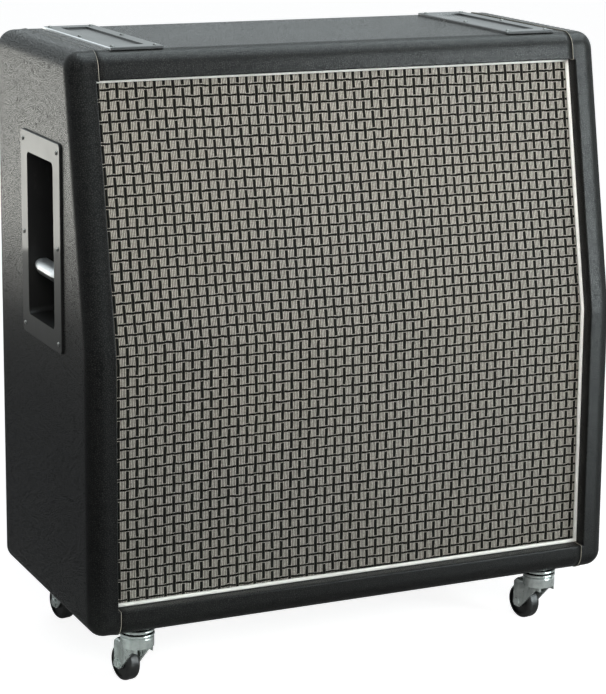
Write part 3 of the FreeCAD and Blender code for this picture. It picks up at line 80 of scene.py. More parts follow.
class CabinetSizes(bpy.types.PropertyGroup):
    """Sizes of the cabinet, the same as those of the CAD part."""

    width: length("Width", "Body across the covering", 0.770)
    height: length("Height", "Body over the covering", 0.755)
    depth: length("Depth", "Body front to back", 0.365)
    base: length("Base", "Floor to the body's underside", 0.088)
    setback: length("Setback", "How far the top of the front leans back", 0.072)
    kink: length("Kink", "Where the front starts to lean, above the underside", 0.377)
    edge: length("Edge", "Rounding of the front and long edges", 0.023)
    kink_round: length("Kink rounding", "Softening of the kink", 0.060)
    back_edge: length("Back edge", "Rounding of the back edges", 0.006)
    wall: length("Wall", "Shell with its covering", 0.019)
    lip: length("Lip", "Front lip round the cloth", 0.036)
    recess: length("Recess", "Cloth behind the lip", 0.022)
    seam: length("Seam", "Covering seam from the side face", 0.040)
    vinyl: length("Vinyl", "Thickness of the covering", 0.0009)
    seam_lift: length("Seam lift", "How proud the side sheet stands at a seam", 0.0011)
    bead_wide: length("Piping width", "Piping seen from the front", 0.005)
    bead_tall: length("Piping height", "Piping off the cloth", 0.004)
    head: length("Screw head", "Radius of a screw head", 0.0031)
    head_tall: length("Screw head height", "Rise of a screw head", 0.0018)
    shank: length("Screw shank", "Radius of a screw shank", 0.002)
    screw_long: length("Screw length", "Shank of a screw in a fitting", 0.010)
    handle_ahead: length("Handle ahead", "Handle centre ahead of the body's middle", 0.004)
    handle_drop: length("Handle drop", "Handle centre below the roof", 0.257)
    handle_thick: length("Handle plate", "Handle plate off the covering", 0.003)
    handle_screw_y: length("Handle screws across", "Handle screws from the centre, front to back", 0.0685)
    handle_screw_z: length("Handle screws up", "Handle screws from the centre, up and down", 0.1255)
    hole_wide: length("Handle hole width", "Hole in the covering, front to back", 0.134)
    hole_tall: length("Handle hole height", "Hole in the covering, up and down", 0.235)
    grip_drop: length("Grip drop", "Middle of the grip below the handle centre", 0.044)
    grip_thick: length("Grip thickness", "Grip up and down", 0.018)
    grip_long: length("Grip length", "Grip between the walls of the pocket", 0.098)
    plate_mid: length("Plate middle", "Stacking plate from the body's middle", 0.2875)
    plate_back: length("Plate back", "Stacking plate's centre behind the body's middle", 0.036)
    plate_wide: length("Plate width", "Stacking plate across", 0.074)
    plate_long: length("Plate length", "Stacking plate front to back", 0.270)
    plate_thick: length("Plate thickness", "Stacking plate off the covering", 0.0035)
    plate_screw_x: length("Plate screws across", "Plate screws from the plate's middle, sideways", 0.02925)
    plate_screw_y: length("Plate screws along", "Plate screws from the plate's middle, lengthways", 0.123)
    back_inset: length("Back inset", "Back panel ahead of the shell's rear", 0.006)
    back_margin: length("Back margin", "Back screws from the edge of the back panel", 0.009)
    back_screw_long: length("Back screw length", "Shank of a back screw", 0.031)
    jack_drop: length("Jack drop", "Jack plate's centre below the kink", 0.092)
    jack_thick: length("Jack plate", "Jack plate off the back panel", 0.002)
    jack_screw_x: length("Jack screws across", "Jack screws from the centre, sideways", 0.047)
    jack_screw_z: length("Jack screws up", "Jack screws from the centre, up and down", 0.029)
    caster_side: length("Caster from side", "Swivel axis from the side face", 0.0795)
    caster_front: length("Caster from front", "Swivel axis of a front caster from the front", 0.0475)
    caster_rear: length("Caster from rear", "Swivel axis of a rear caster from the rear", 0.0585)


class CabinetFinish(bpy.types.PropertyGroup):
    """Colours and pattern sizes of the finishes."""

    vinyl: colour("Vinyl", "Raised grain of the covering", (0.028, 0.0283, 0.027))
    # Painted shade in the creases between the grain of the vinyl.
    crease_shade: colour("Vinyl crease", "Creases between the grain", (0.0015, 0.0015, 0.0015))
    grain: length("Grain", "Size of one pebble of the vinyl grain", 0.0027)
    thread: colour("Thread", "Light threads of the cloth", (0.74, 0.70, 0.63))
    thread_shade: colour("Thread shade", "Between the light threads", (0.016, 0.015, 0.013))
    ribbon: colour("Ribbon", "Dark bars and lines of the cloth", (0.004, 0.004, 0.0036))
    column: length("Weave column", "One cell of the weave across", 0.0128)
    row: length("Weave row", "One cell of the weave upwards", 0.0136)
    bar: length("Bar", "Width of the upright dark bars", 0.0033)
    line: length("Line", "Width of the level dark lines", 0.0026)
    piping: colour("Piping", "Piping round the cloth", (0.86, 0.855, 0.81))
    backing: colour("Backing", "Cut edge of the covering at the seams", (0.50, 0.47, 0.39))
    zinc: colour("Zinc", "Bright plating of the casters", (0.84, 0.90, 0.87))
    screw: colour("Screw", "Bright plating of the screws", (0.34, 0.335, 0.32))


class CabinetStage(bpy.types.PropertyGroup):
    """Camera and lamps."""

    camera: FloatVectorProperty(
        name="Camera", description="Place of the camera", default=(-1.35638, -2.95471, 1.19463), subtype="XYZ"
    )
    yaw: plain("Yaw", "Camera turn round the upright axis, radians", -0.4432)
    pitch: plain("Pitch", "Camera tilt down, radians", 0.21294)
    roll: plain("Roll", "Camera roll, radians", 0.01203)
    focus: plain("Focal length", "Focal length in pixels of a 606 pixel wide image", 2394.24)
    shift_x: plain("Shift across", "Sideways lens shift", -0.05753)
    shift_y: plain("Shift up", "Upward lens shift", -0.1)
    overhead: watts("Overhead", "Lamp above", 9.0)
    side: watts("Side", "Lamp behind on the left", 1.9)
    front: watts("Front", "Lamp in front on the right", 44.0)
    card: watts("Card", "Card mirrored by the right lip", 5.4)
    roof: watts("Roof", "Card mirrored by the top front edge", 60.0)
    low: watts("Low", "Low lamp on the near caster", 0.13)
    key: watts("Key", "Lamp in front, above the camera", 11.2)
    world: plain("World", "Level of the light all round", 0.17)


class Web:
    """The node tree of a material or a world, with short ways to add and join nodes."""

    def __init__(self, owner):
        owner.use_nodes = True
        self.nodes, self.links = owner.node_tree.nodes, owner.node_tree.links

    def feed(self, socket, value):
        """Join a socket to a socket, or set its value. A colour gets its alpha."""
        if isinstance(value, bpy.types.NodeSocket):
            self.links.new(value, socket)
        else:
            socket.default_value = (*value, 1.0) if socket.type == "RGBA" else value

    def add(self, kind, inputs=None, **settings):
        """A node with its settings and its inputs."""
        node = self.nodes.new("ShaderNode" + kind)
        for key, value in settings.items():
            setattr(node, key, value)
        for key, value in (inputs or {}).items():
            self.feed(node.inputs[key], value)
        return node

    def math(self, operation, a, b=0.0, c=0.0):
        """One step of arithmetic."""
        return self.add("Math", {0: a, 1: b, 2: c}, operation=operation).outputs[0]

    def times(self, a, b):
        """The product of two values."""
        return self.math("MULTIPLY", a, b)

    def rest(self, share):
        """What a share leaves of one."""
        return self.math("SUBTRACT", 1.0, share)

    def blend(self, share, a, b):
        """A colour between two."""
        node = self.add("Mix", data_type="RGBA")
        self.feed(node.inputs[0], share)
        self.feed(node.inputs[6], a)
        self.feed(node.inputs[7], b)
        return node.outputs[2]

    def remap(self, value, low, high, to_low, to_high):
        """A value moved from one range to another, clamped."""
        steps = {"Value": value, "From Min": low, "From Max": high, "To Min": to_low, "To Max": to_high}
        return self.add("MapRange", steps).outputs[0]


class Finish(Web):
    """One material, with patterns on the object's own coordinates."""

    def __init__(self, name):
        self.material = bpy.data.materials.new(name)
        super().__init__(self.material)
        self.shader = self.nodes["Principled BSDF"]
        self.coords = self.nodes.new("ShaderNodeTexCoord")

    def axes(self, kind="Object"):
        """The three coordinates of the shaded point, one socket each."""
        return self.add("SeparateXYZ", {0: self.coords.outputs[kind]}).outputs

    def noise(self, scale, detail=2.0, rough=0.5, where=None, stretch=None):
        """Cloudy noise on the object's own coordinates, stretched along the axes if asked."""
        place = where or self.coords.outputs["Object"]
        if stretch:
            place = self.add("Mapping", {"Vector": place, "Scale": stretch}).outputs[0]
        inputs = {"Vector": place, "Scale": scale, "Detail": detail, "Roughness": rough}
        return self.add("TexNoise", inputs).outputs["Fac"]

    def swing(self, noise, low, high):
        """The range that a noise mostly keeps to, moved to another."""
        return self.remap(noise, 0.3, 0.7, low, high)

    def bump(self, height, distance, strength=1.0, normal=None):
        """A bumped normal from a height between 0 and 1."""
        inputs = {"Height": height, "Distance": distance, "Strength": strength}
        if normal is not None:
            inputs["Normal"] = normal
        return self.add("Bump", inputs).outputs["Normal"]

    def set(self, **inputs):
        """Set or join the shader's own sockets, and hand back the material."""
        for key, value in inputs.items():
            self.feed(self.shader.inputs[key.replace("_", " ")], value)
        return self.material


def toned(share, rgb):
    """A colour darkened or lightened to a share of itself."""
    return tuple(share * c for c in rgb)


def vinyl_finish(f, seam):
    """Pebbled black vinyl: raised cells with creases between them, painted shade in the creases, mottled and
    a little scuffed. Along a seam a painted shadow darkens the sheet that laps beneath, and the cut edge of
    the other shows its pale backing."""
    m = Finish("vinyl")
    inside = m.math("SUBTRACT", seam, m.math("ABSOLUTE", m.axes()[0]))
    # Painted shadow: a narrow band on the sheet that laps beneath a seam, beside the proud edge of the other
    # sheet.
    seam_shadow = m.remap(inside, 0.0, 0.00005, 0.0, m.remap(inside, 0.0011, 0.0015, 1.0, 0.0))
    raw = m.remap(inside, -0.0007, -0.0005, 0.0, m.remap(inside, -0.0001, 0.0, 1.0, 0.0))
    spot = m.coords.outputs["Object"]
    pitch = (1 / f.grain, 1 / f.grain, 1.25 / f.grain)
    place = m.add("VectorMath", {0: spot, 1: pitch}, operation="MULTIPLY").outputs[0]
    swirl = m.add("TexNoise", {"Vector": spot, "Scale": 300.0, "Detail": 2.0}).outputs["Color"]
    shove = m.add("VectorMath", {0: swirl, 1: (0.2, 0.2, 0.2), 2: place}, operation="MULTIPLY_ADD").outputs[0]
    cells = m.add("TexVoronoi", {"Vector": shove, "Scale": 1.0}, feature="DISTANCE_TO_EDGE").outputs[0]
    pebble = m.remap(cells, 0.0, 0.36, 0.0, 1.0)
    fine = m.noise(2600.0, 2.0)
    height = m.math("ADD", pebble, m.times(fine, 0.1))
    smooth = m.swing(m.noise(7.0, 3.0), 0.16, 0.22)
    creased = m.remap(pebble, 0.0, 0.6, 0.72, 0.16)
    dust = m.remap(m.noise(55.0, 4.0, 0.65), 0.52, 0.75, 0.0, 0.35)
    worn = m.blend(dust, f.vinyl, toned(1.9, f.vinyl))
    # Painted shade: the creases between the raised cells turn near black.
    tone = m.blend(m.remap(cells, 0.11, 0.25, 0.0, 1.0), f.crease_shade, worn)
    # The painted shadow band at the seam goes near black.
    tone = m.blend(seam_shadow, tone, (0.0006, 0.0006, 0.0006))
    patchy = m.remap(m.noise(45.0, 2.0), 0.35, 0.6, 0.25, 1.0)
    tone = m.blend(m.times(raw, patchy), tone, f.backing)
    return m.set(
        Base_Color=tone,
        Roughness=m.math("MAXIMUM", m.math("MAXIMUM", smooth, creased), m.times(seam_shadow, 0.95)),
        Normal=m.bump(height, 0.0001, 1.0),
        Specular_IOR_Level=0.17,
    )


def cloth_finish(f):
    """Check weave on the sheet's own map in metres: blocks of light upright threads, dark upright bars and
    dark level lines that pass over each other at alternate crossings."""
    m = Finish("grille_cloth")
    axes = m.axes("UV")
    sway = m.math("SUBTRACT", m.noise(70.0, 1.0, where=m.coords.outputs["UV"]), 0.5)
    dip = m.math("SUBTRACT", m.noise(95.0, 2.0, where=m.coords.outputs["Object"]), 0.5)
    u = m.math("MULTIPLY_ADD", sway, 0.14, m.math("DIVIDE", axes[0], f.column))
    v = m.math("MULTIPLY_ADD", dip, 0.26, m.math("DIVIDE", axes[1], f.row))
    column, row = m.math("FLOOR", u), m.math("FLOOR", v)
    across = m.math("SUBTRACT", m.math("SUBTRACT", u, column), 0.5)
    along = m.math("SUBTRACT", m.math("SUBTRACT", v, row), 0.5)
    far_u, far_v = m.math("ABSOLUTE", across), m.math("ABSOLUTE", along)
    odd = m.math("MODULO", m.math("ADD", m.math("ADD", column, row), 1000.0), 2.0)
    even = m.rest(odd)
    threads, picks, blur = 6.0, 9.0, 0.012
    bar_half, line_half = f.bar / f.column / 2.0, f.line / f.row / 2.0
    on_bar = m.remap(far_u, bar_half - blur, bar_half + blur, 1.0, 0.0)
    on_line = m.remap(far_v, line_half - blur, line_half + blur, 1.0, 0.0)
    near_line = m.remap(far_v, 0.15, 0.19, 1.0, 0.0)
    near_bar = m.remap(far_u, bar_half + 0.03, bar_half + 0.06, 1.0, 0.0)
    bar = m.times(on_bar, m.rest(m.times(odd, near_line)))
    line = m.times(on_line, m.rest(m.times(even, near_bar)))
    dark = m.math("MAXIMUM", bar, line)
    turn = m.times(m.math("SUBTRACT", 0.5, far_u), 2.0 * math.pi * threads)
    ridge = m.math("MULTIPLY_ADD", m.math("COSINE", turn), -0.5, 0.5)
    pick = m.math("MULTIPLY_ADD", m.math("COSINE", m.times(v, 2.0 * math.pi * picks)), 0.5, 0.5)
    lit = m.times(m.math("POWER", ridge, 1.4), m.math("MULTIPLY_ADD", pick, 0.4, 0.6))
    fuzz = m.noise(520.0, 3.0, 0.65)
    lit = m.times(lit, m.swing(fuzz, 0.55, 1.15))
    light = m.blend(lit, f.thread_shade, f.thread)
    age = m.swing(m.noise(5.0, 3.0), 0.0, 0.16)
    aged = m.blend(age, light, (0.30, 0.27, 0.20))
    tone = m.blend(dark, aged, f.ribbon)
    round_bar = m.rest(m.math("POWER", m.math("DIVIDE", far_u, bar_half), 2.0))
    round_line = m.rest(m.math("POWER", m.math("DIVIDE", far_v, line_half), 2.0))
    raised = m.math("ADD", m.times(bar, round_bar), m.times(line, round_line))
    height = m.math("MULTIPLY_ADD", lit, 0.45, m.math("MULTIPLY_ADD", dark, 0.3, raised))
    return m.set(
        Base_Color=tone,
        Roughness=m.swing(fuzz, 0.72, 0.9),
        Normal=m.bump(height, 0.0005, 0.7),
        Specular_IOR_Level=0.08,
    )


def piping_finish(f):
    """Cream piping with a fine twist and a little grime in it."""
    m = Finish("piping")
    axes = m.axes("UV")
    slant = m.math("MULTIPLY_ADD", axes[0], 2600.0, m.times(axes[1], 2.0 * math.pi))
    twist = m.math("MULTIPLY_ADD", m.math("SINE", slant), 0.5, 0.5)
    grime = m.remap(m.noise(40.0, 4.0, 0.65), 0.5, 0.8, 0.0, 0.4)
    tone = m.blend(grime, f.piping, toned(0.62, f.piping))
    return m.set(
        Base_Color=tone,
        Roughness=m.remap(twist, 0.0, 1.0, 0.42, 0.55),
        Normal=m.bump(twist, 0.00018, 0.5),
        Specular_IOR_Level=0.4,
    )


def moulded_finish(name, low, high, rough, grain, depth, specular=0.5, coat=0.0, worn_glints=(), dull=None):
    """Paint or moulding: two near tones, a fine skin and roughness that drifts. The listed boxes of ranges in
    x, y and z hold a painted highlight, made as wear to bright metal, and dull is the y of a front edge
    without gloss."""
    m = Finish(name)
    blur = 0.0003
    drift = m.noise(14.0, 3.0)
    skin = m.noise(grain, 2.0, 0.6)
    scuff = m.remap(m.noise(90.0, 5.0, 0.7, stretch=(1.0, 1.0, 0.35)), 0.56, 0.74, 0.0, 0.5)
    tone = m.blend(m.swing(drift, 0.0, 1.0), low, high)
    tone = m.blend(scuff, tone, tuple(min(1.0, 2.0 * c + 0.01) for c in high))
    matt = m.math("ADD", m.swing(drift, rough[0], rough[1]), m.times(scuff, 0.12))
    metal = 0.0
    axes = m.axes()
    # Painted highlight: inside each box the surface turns to bright metal, as if worn.
    for box in worn_glints:
        worn = m.remap(skin, 0.2, 0.4, 0.6, 1.0)
        for axis, (near, far) in zip(axes, box):
            worn = m.times(worn, m.remap(axis, near - blur, near + blur, 0.0, 1.0))
            worn = m.times(worn, m.remap(axis, far - blur, far + blur, 1.0, 0.0))
        metal = m.math("MAXIMUM", metal, worn)
    if worn_glints:
        tone = m.blend(metal, tone, (0.86, 0.87, 0.88))
        m.set(Metallic=metal)
    if dull is not None:
        matt = m.math("MAXIMUM", matt, m.remap(axes[1], dull + 0.0008, dull + 0.0014, 0.9, 0.0))
    return m.set(
        Base_Color=tone,
        Roughness=matt,
        Normal=m.bump(skin, depth, 0.5),
        Specular_IOR_Level=specular,
        Coat_Weight=coat,
        Coat_Roughness=0.07,
    )


def plated_finish(
    name, tone, rough, brush=(1.0, 1.0, 1.0), streak=400.0, metal=1.0, fade=0.86, dent=0.0001, shade_bands=()
):
    """Plated metal: streaks that fade to a share of its tone, spots of dulling and a soft orange peel. The
    listed heights bound bands where painted shade blackens it."""
    m = Finish(name)
    line = m.noise(streak, 3.0, 0.55, stretch=brush)
    dull = m.remap(m.noise(110.0, 4.0, 0.6), 0.45, 0.7, 0.0, 1.0)
    shade = m.blend(m.swing(line, 0.0, 1.0), toned(fade, tone), tone)
    shade = m.blend(m.times(dull, 0.5), shade, toned(0.4, tone))
    rise = m.axes()[2]
    # Painted shade: inside each band the plating turns near black.
    for low, high in shade_bands:
        painted_shade = m.times(m.math("GREATER_THAN", rise, low), m.math("LESS_THAN", rise, high))
        shade = m.blend(m.times(painted_shade, 0.93), shade, (0.006, 0.006, 0.006))
    wave = m.bump(m.noise(75.0, 2.0), dent, 1.0)
    return m.set(
        Base_Color=shade,
        Metallic=metal,
        Roughness=m.math("ADD", m.swing(line, rough[0], rough[1]), m.times(dull, 0.15)),
        Normal=m.bump(m.noise(900.0, 2.0), 0.00005, 0.4, wave),
    )


def wood_finish(name, light, dark, stretch, rough=0.7, paint=None):
    """Raw wood: drawn-out grain along one axis, with pores. Behind the y called paint it is painted black."""
    m = Finish(name)
    grain = m.noise(60.0, 5.0, 0.6, stretch=stretch)
    pore = m.remap(m.noise(700.0, 2.0, 0.6, stretch=stretch), 0.55, 0.7, 0.0, 1.0)
    tone = m.blend(m.swing(grain, 0.0, 1.0), dark, light)
    tone = m.blend(m.times(pore, 0.4), tone, toned(0.5, dark))
    if paint:
        painted = m.math("GREATER_THAN", m.axes()[1], paint)
        tone = m.blend(painted, tone, (0.011, 0.011, 0.011))
    return m.set(
        Base_Color=tone,
        Roughness=m.swing(grain, rough - 0.08, rough + 0.08),
        Normal=m.bump(grain, 0.0003, 0.4),
        Specular_IOR_Level=0.3,
    )


def paper_finish(name, light, dark):
    """Pressed paper or treated cloth: felted fibres."""
    m = Finish(name)
    fibre = m.noise(800.0, 4.0, 0.7)
    drift = m.noise(20.0, 3.0)
    tone = m.blend(m.times(fibre, drift), dark, light)
    return m.set(
        Base_Color=tone,
        Roughness=m.swing(fibre, 0.75, 0.92),
        Normal=m.bump(fibre, 0.0002, 0.5),
        Specular_IOR_Level=0.2,
    )


def rubber_finish(name):
    """Wheel moulding: matt black with floor dust on it."""
    m = Finish(name)
    dust = m.remap(m.noise(70.0, 5.0, 0.65), 0.45, 0.75, 0.0, 0.5)
    tone = m.blend(dust, (0.009, 0.009, 0.009), (0.04, 0.038, 0.034))
    return m.set(
        Base_Color=tone,
        Roughness=m.remap(dust, 0.0, 0.5, 0.36, 0.6),
        Normal=m.bump(m.noise(1200.0, 2.0), 0.00008, 0.5),
        Specular_IOR_Level=0.5,
    )


def surface(name, patches, wrap=(False, False), flip=False, keep=None, maps=None, sharp=40.0, weld=True):
    """A mesh from one or more grids of points, each of shape (rows, columns, 3).

    Quad r, c joins points (r, c), (r + 1, c), (r + 1, c + 1) and (r, c + 1). wrap closes the rows or the
    columns on themselves, keep is a mask of the quads that stay, and maps holds one (u, v) for each point."""
    patches = [np.asarray(p, float) for p in patches]
    points, quads, start = [], [], 0
    for grid in patches:
        rows, cols = grid.shape[:2]
        number = start + np.arange(rows * cols).reshape(rows, cols)
        if wrap[0]:
            number = np.concatenate([number, number[:1]], 0)
        if wrap[1]:
            number = np.concatenate([number, number[:, :1]], 1)
        quad = np.stack([number[:-1, :-1], number[1:, :-1], number[1:, 1:], number[:-1, 1:]], -1)
        if keep is not None:
            quad = quad[keep]
        points.append(grid.reshape(-1, 3))
        quads.append(quad.reshape(-1, 4))
        start += rows * cols
    points, quads = np.concatenate(points), np.concatenate(quads)
    if flip:
        quads = quads[:, ::-1]
    mesh = bpy.data.meshes.new(name)
    mesh.from_pydata(points.tolist(), [], quads.tolist())
    if maps is not None:
        layer = mesh.uv_layers.new(name="flat")
        corner = np.zeros(len(mesh.loops), np.int32)
        mesh.loops.foreach_get("vertex_index", corner)
        flat = np.concatenate([np.asarray(one, float).reshape(-1, 2) for one in maps])
        layer.data.foreach_set("uv", flat[corner].astype(np.float32).ravel())
    if weld:
        work = bmesh.new()
        work.from_mesh(mesh)
        bmesh.ops.remove_doubles(work, verts=work.verts, dist=1e-6)
        bmesh.ops.dissolve_degenerate(work, edges=work.edges, dist=1e-7)
        work.to_mesh(mesh)
        work.free()
    mesh.shade_smooth()
    mesh.set_sharp_from_angle(angle=math.radians(sharp))
    piece = bpy.data.objects.new(name, mesh)
    bpy.context.scene.collection.objects.link(piece)
    return piece


def settle(piece, material, nodes=(), body="cabinet"):
    """Give a piece its finish and its body, and let it stand for CAD nodes."""
    piece.data.materials.append(material)
    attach(piece, body)
    if nodes:
        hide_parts(*nodes)


def dress(names, material):
    """Give CAD nodes that keep their shape a finish."""
    for name in names:
        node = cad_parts[name]
        node.data.materials.clear()
        node.data.materials.append(material)


def steps(*stops):
    """Rising values through stops of (value, parts up to the next stop)."""
    runs = [np.linspace(a, b, n, endpoint=False) for (a, n), (b, _) in zip(stops[:-1], stops[1:])]
    return np.concatenate(runs + [np.array([stops[-1][0]])])


def front_line(z, s, deep=0.0):
    """Y of the front at level z and a depth behind the lip: upright below the kink, leaning back above it,
    with a parabola between the two where the kink is softened."""
    least_round = 0.004
    lean = math.atan2(s.setback, s.height - s.kink)
    level = s.base + s.kink - deep * math.tan(lean / 2)
    half = max(s.kink_round - deep, least_round) * math.tan(lean / 2)
    over = z - level
    rise = np.where(over > half, over, np.where(over > -half, (over + half) ** 2 / (4 * half), 0.0))
    return -s.depth / 2 + deep + rise * math.tan(lean)


def handle_hole(s):
    """The lowest and highest y and z of the hole that a handle's pocket passes through."""
    mid = np.array([-s.handle_ahead, s.base + s.height - s.handle_drop])
    half = np.array([s.hole_wide, s.hole_tall]) / 2
    return mid - half, mid + half


def cover_profile(s):
    """The covering's profile from the back of the shell, over the back edge, along the outside, round the
    front edge, over the lip and down its lining. The three roundings are quarter circles. Each row is
    (inset, y, outward part of inset, outward part of y)."""
    half, r, b = s.depth / 2, s.edge, s.back_edge
    inner, tuck = 0.0016, 0.0008
    (hole_front, _), (hole_rear, _) = handle_hole(s)
    quarter = np.radians(np.linspace(0, 90, 9))
    c, k = np.cos(quarter), np.sin(quarter)
    bend = np.radians(np.linspace(0, 90, 15))
    rear = np.linspace(s.wall, b, 4)[:-1]
    y = steps((half - b, 8), (hole_rear, 12), (hole_front, 12), (-half + r, 1))[1:-1]
    lip = np.linspace(r, s.lip - inner, 5)[1:-1]
    wall = np.linspace(-half + inner, -half + s.recess + tuck, 6)[1:]
    runs = (
        (rear, 0 * rear + half, 0 * rear, 0 * rear + 1),
        (b * (1 - k), half - b * (1 - c), k, c),
        (0 * y, y, 0 * y + 1, 0 * y),
        (r * (1 - np.cos(bend)), -half + r * (1 - np.sin(bend)), np.cos(bend), -np.sin(bend)),
        (lip, 0 * lip - half, 0 * lip, 0 * lip - 1),
        (s.lip - inner * (1 - k), -half + inner * (1 - c), -k, -c),
        (0 * wall + s.lip, wall, 0 * wall - 1, 0 * wall),
    )
    return np.concatenate([np.stack(run, -1) for run in runs])


# The line, just ahead of the handles' holes, behind which nothing slides back with the leaning front.
FADE = -0.0745


def lean_in(y, z, s):
    """Slide the front part of an upright body back to the leaning front: all of the shift a little behind the
    front rounding and ahead of that, none behind a fixed line, and a straight fade between."""
    clear = 0.002
    near = -s.depth / 2 + s.edge + clear
    share = np.clip((FADE - y) / (FADE - near), 0.0, 1.0)
    return y + share * (front_line(z, s) + s.depth / 2)


def roof_shift(s, rows):
    """How far each row of the profile moves in y and z along the top edge, so that the rounding between the
    leaning front and the level top is a true arc: its centre is one radius from both faces, and it turns
    through a right angle less the lean. The move fades out along the top and along the lip."""
    d, y, out_d, out_y = rows.T
    lean = math.atan2(s.setback, s.height - s.kink)
    half, r, roof = s.depth / 2, s.edge, s.base + s.height
    turn = np.arctan2(-out_y, out_d) * (1 - lean / (np.pi / 2)) + np.pi / 2
    mid_y = -half + (s.height - s.kink - r) * math.tan(lean) + r / math.cos(lean)
    z = roof - d
    arc = np.stack([mid_y + r * np.cos(turn), roof - r + r * np.sin(turn)], -1)
    move = arc - np.stack([lean_in(y, z, s), z], -1)
    bend = (y <= -half + r + 1e-9) & (d <= r + 1e-9)
    first, last = move[bend][0], move[bend][-1]
    along_top = np.clip((FADE - y) / (FADE + half - r), 0.0, 1.0)[:, None] * first * (d < 1e-9)[:, None]
    along_lip = np.clip((s.lip - d) / (s.lip - r), 0.0, 1.0)[:, None] * last * (y < 0)[:, None]
    return np.where(bend[:, None], move, np.where((d > r)[:, None], along_lip, along_top))


def side_sheet(s):
    """The side covering as rows of the profile and columns round the side: in from the lower seam, round the
    lower corner, up the side, round the upper corner and in to the upper seam. At inset d the corner's radius
    is edge - d, and a mitre where that is spent. Near each seam the sheet stands proud by a bell of its
    distance."""
    rows = cover_profile(s)
    corner, soft, rim, bell_wide, probe = 0.04, 0.012, 0.0005, 0.006, 1.0e-3
    d, y, out_d, out_y = (rows[:, k : k + 1] for k in range(4))
    low, high = s.base, s.base + s.height
    seam = s.width / 2 - s.seam
    share = np.array([0.0, 0.05, 0.12, 0.25, 0.45, 0.7, 1.0])
    bend = np.radians(np.linspace(0, 90, 10))[1:]
    kink = s.base + s.kink
    (_, hole_low), (_, hole_high) = handle_hole(s)
    below = ((low + corner, 30), (kink - soft, 12), (kink + soft, 4))
    level = steps(*below, (hole_low - rim, 22), (hole_high + rim, 10), (high - corner, 1))
    level = np.unique(np.round(np.concatenate([level, [hole_low, hole_high]]), 5))
    columns = len(share) + len(bend) + len(level) + len(bend) + len(share)

    def at(lift):
        dd = d - lift * out_d
        yy = y + lift * out_y
        half, ring = s.width / 2 - dd, np.maximum(s.edge - dd, 0.0)
        ones = np.ones((len(rows), 1))
        run_x = seam + (half - ring - seam) * share
        arc_x, arc_z = half - ring + ring * np.sin(bend), dd + ring * (1 - np.cos(bend))
        flat_z = dd * np.ones(len(share))
        x = np.concatenate([run_x, arc_x, half * np.ones(len(level)), arc_x[:, ::-1], run_x[:, ::-1]], 1)
        z = np.concatenate([low + flat_z, low + arc_z, ones * level, high - arc_z[:, ::-1], high - flat_z], 1)
        return x, yy * np.ones(columns), z

    x, _, _ = at(0.0)
    bell = s.seam_lift * np.exp(-(((x - seam) / bell_wide) ** 2))
    x, yy, z = (a + (b - a) * bell / probe for a, b in zip(at(0.0), at(probe)))
    move = roof_shift(s, rows)
    count = columns - len(share) - len(bend)
    weight = np.concatenate([np.zeros(count), np.cos(bend[::-1]) ** 2, np.ones(len(share))])
    return np.stack([-x, lean_in(yy, z, s) + move[:, :1] * weight, z + move[:, 1:] * weight], -1)


def level_sheet(s, top):
    """The covering of the top or the bottom: the profile carried straight across, a lap past each seam."""
    rows = cover_profile(s)
    lap = 0.002
    half = s.width / 2 - s.seam + lap
    x = np.linspace(-half, half, 61)[None, :] * np.ones((len(rows), 1))
    d, y = rows[:, :1], rows[:, 1:2]
    z = (s.base + s.height - d if top else s.base + d) * np.ones_like(x)
    move = roof_shift(s, rows) * (1.0 if top else 0.0)
    return np.stack([x, lean_in(y * np.ones_like(x), z, s) + move[:, :1], z + move[:, 1:]], -1)


class CABINET_OT_covering(bpy.types.Operator):
    """Lay the vinyl covering over the shell in four sheets that meet at seams"""

    bl_idname = "cabinet.covering"
    bl_label = "Covering"

    def execute(self, context):
        s, f = context.scene.cabinet_sizes, context.scene.cabinet_finish
        skin = vinyl_finish(f, s.width / 2 - s.seam)
        cut = paper_finish("vinyl_backing", f.backing, toned(0.6, f.backing))
        left = side_sheet(s)
        mid = (left[:-1, :-1] + left[1:, 1:]) / 2
        flat = np.abs(mid[..., 0] + s.width / 2) < 1e-5
        least, most = handle_hole(s)
        keep = ~(flat & np.all((mid[..., 1:] > least) & (mid[..., 1:] < most), -1))
        right = left * np.array([-1.0, 1.0, 1.0])
        sheets = (
            ("vinyl_left", left, False, keep, "covering_left"),
            ("vinyl_right", right, True, keep, "covering_right"),
            ("vinyl_top", level_sheet(s, True), False, None, "covering_top"),
            ("vinyl_bottom", level_sheet(s, False), True, None, "covering_bottom"),
        )
        for name, grid, flip, mask, node in sheets:
            piece = surface(name, [grid], flip=flip, keep=mask)
            thick = piece.modifiers.new("thickness", "SOLIDIFY")
            thick.thickness = s.vinyl
            thick.offset = -1.0
            thick.material_offset_rim = 1
            settle(piece, skin, [node])
            piece.data.materials.append(cut)
        return {"FINISHED"}


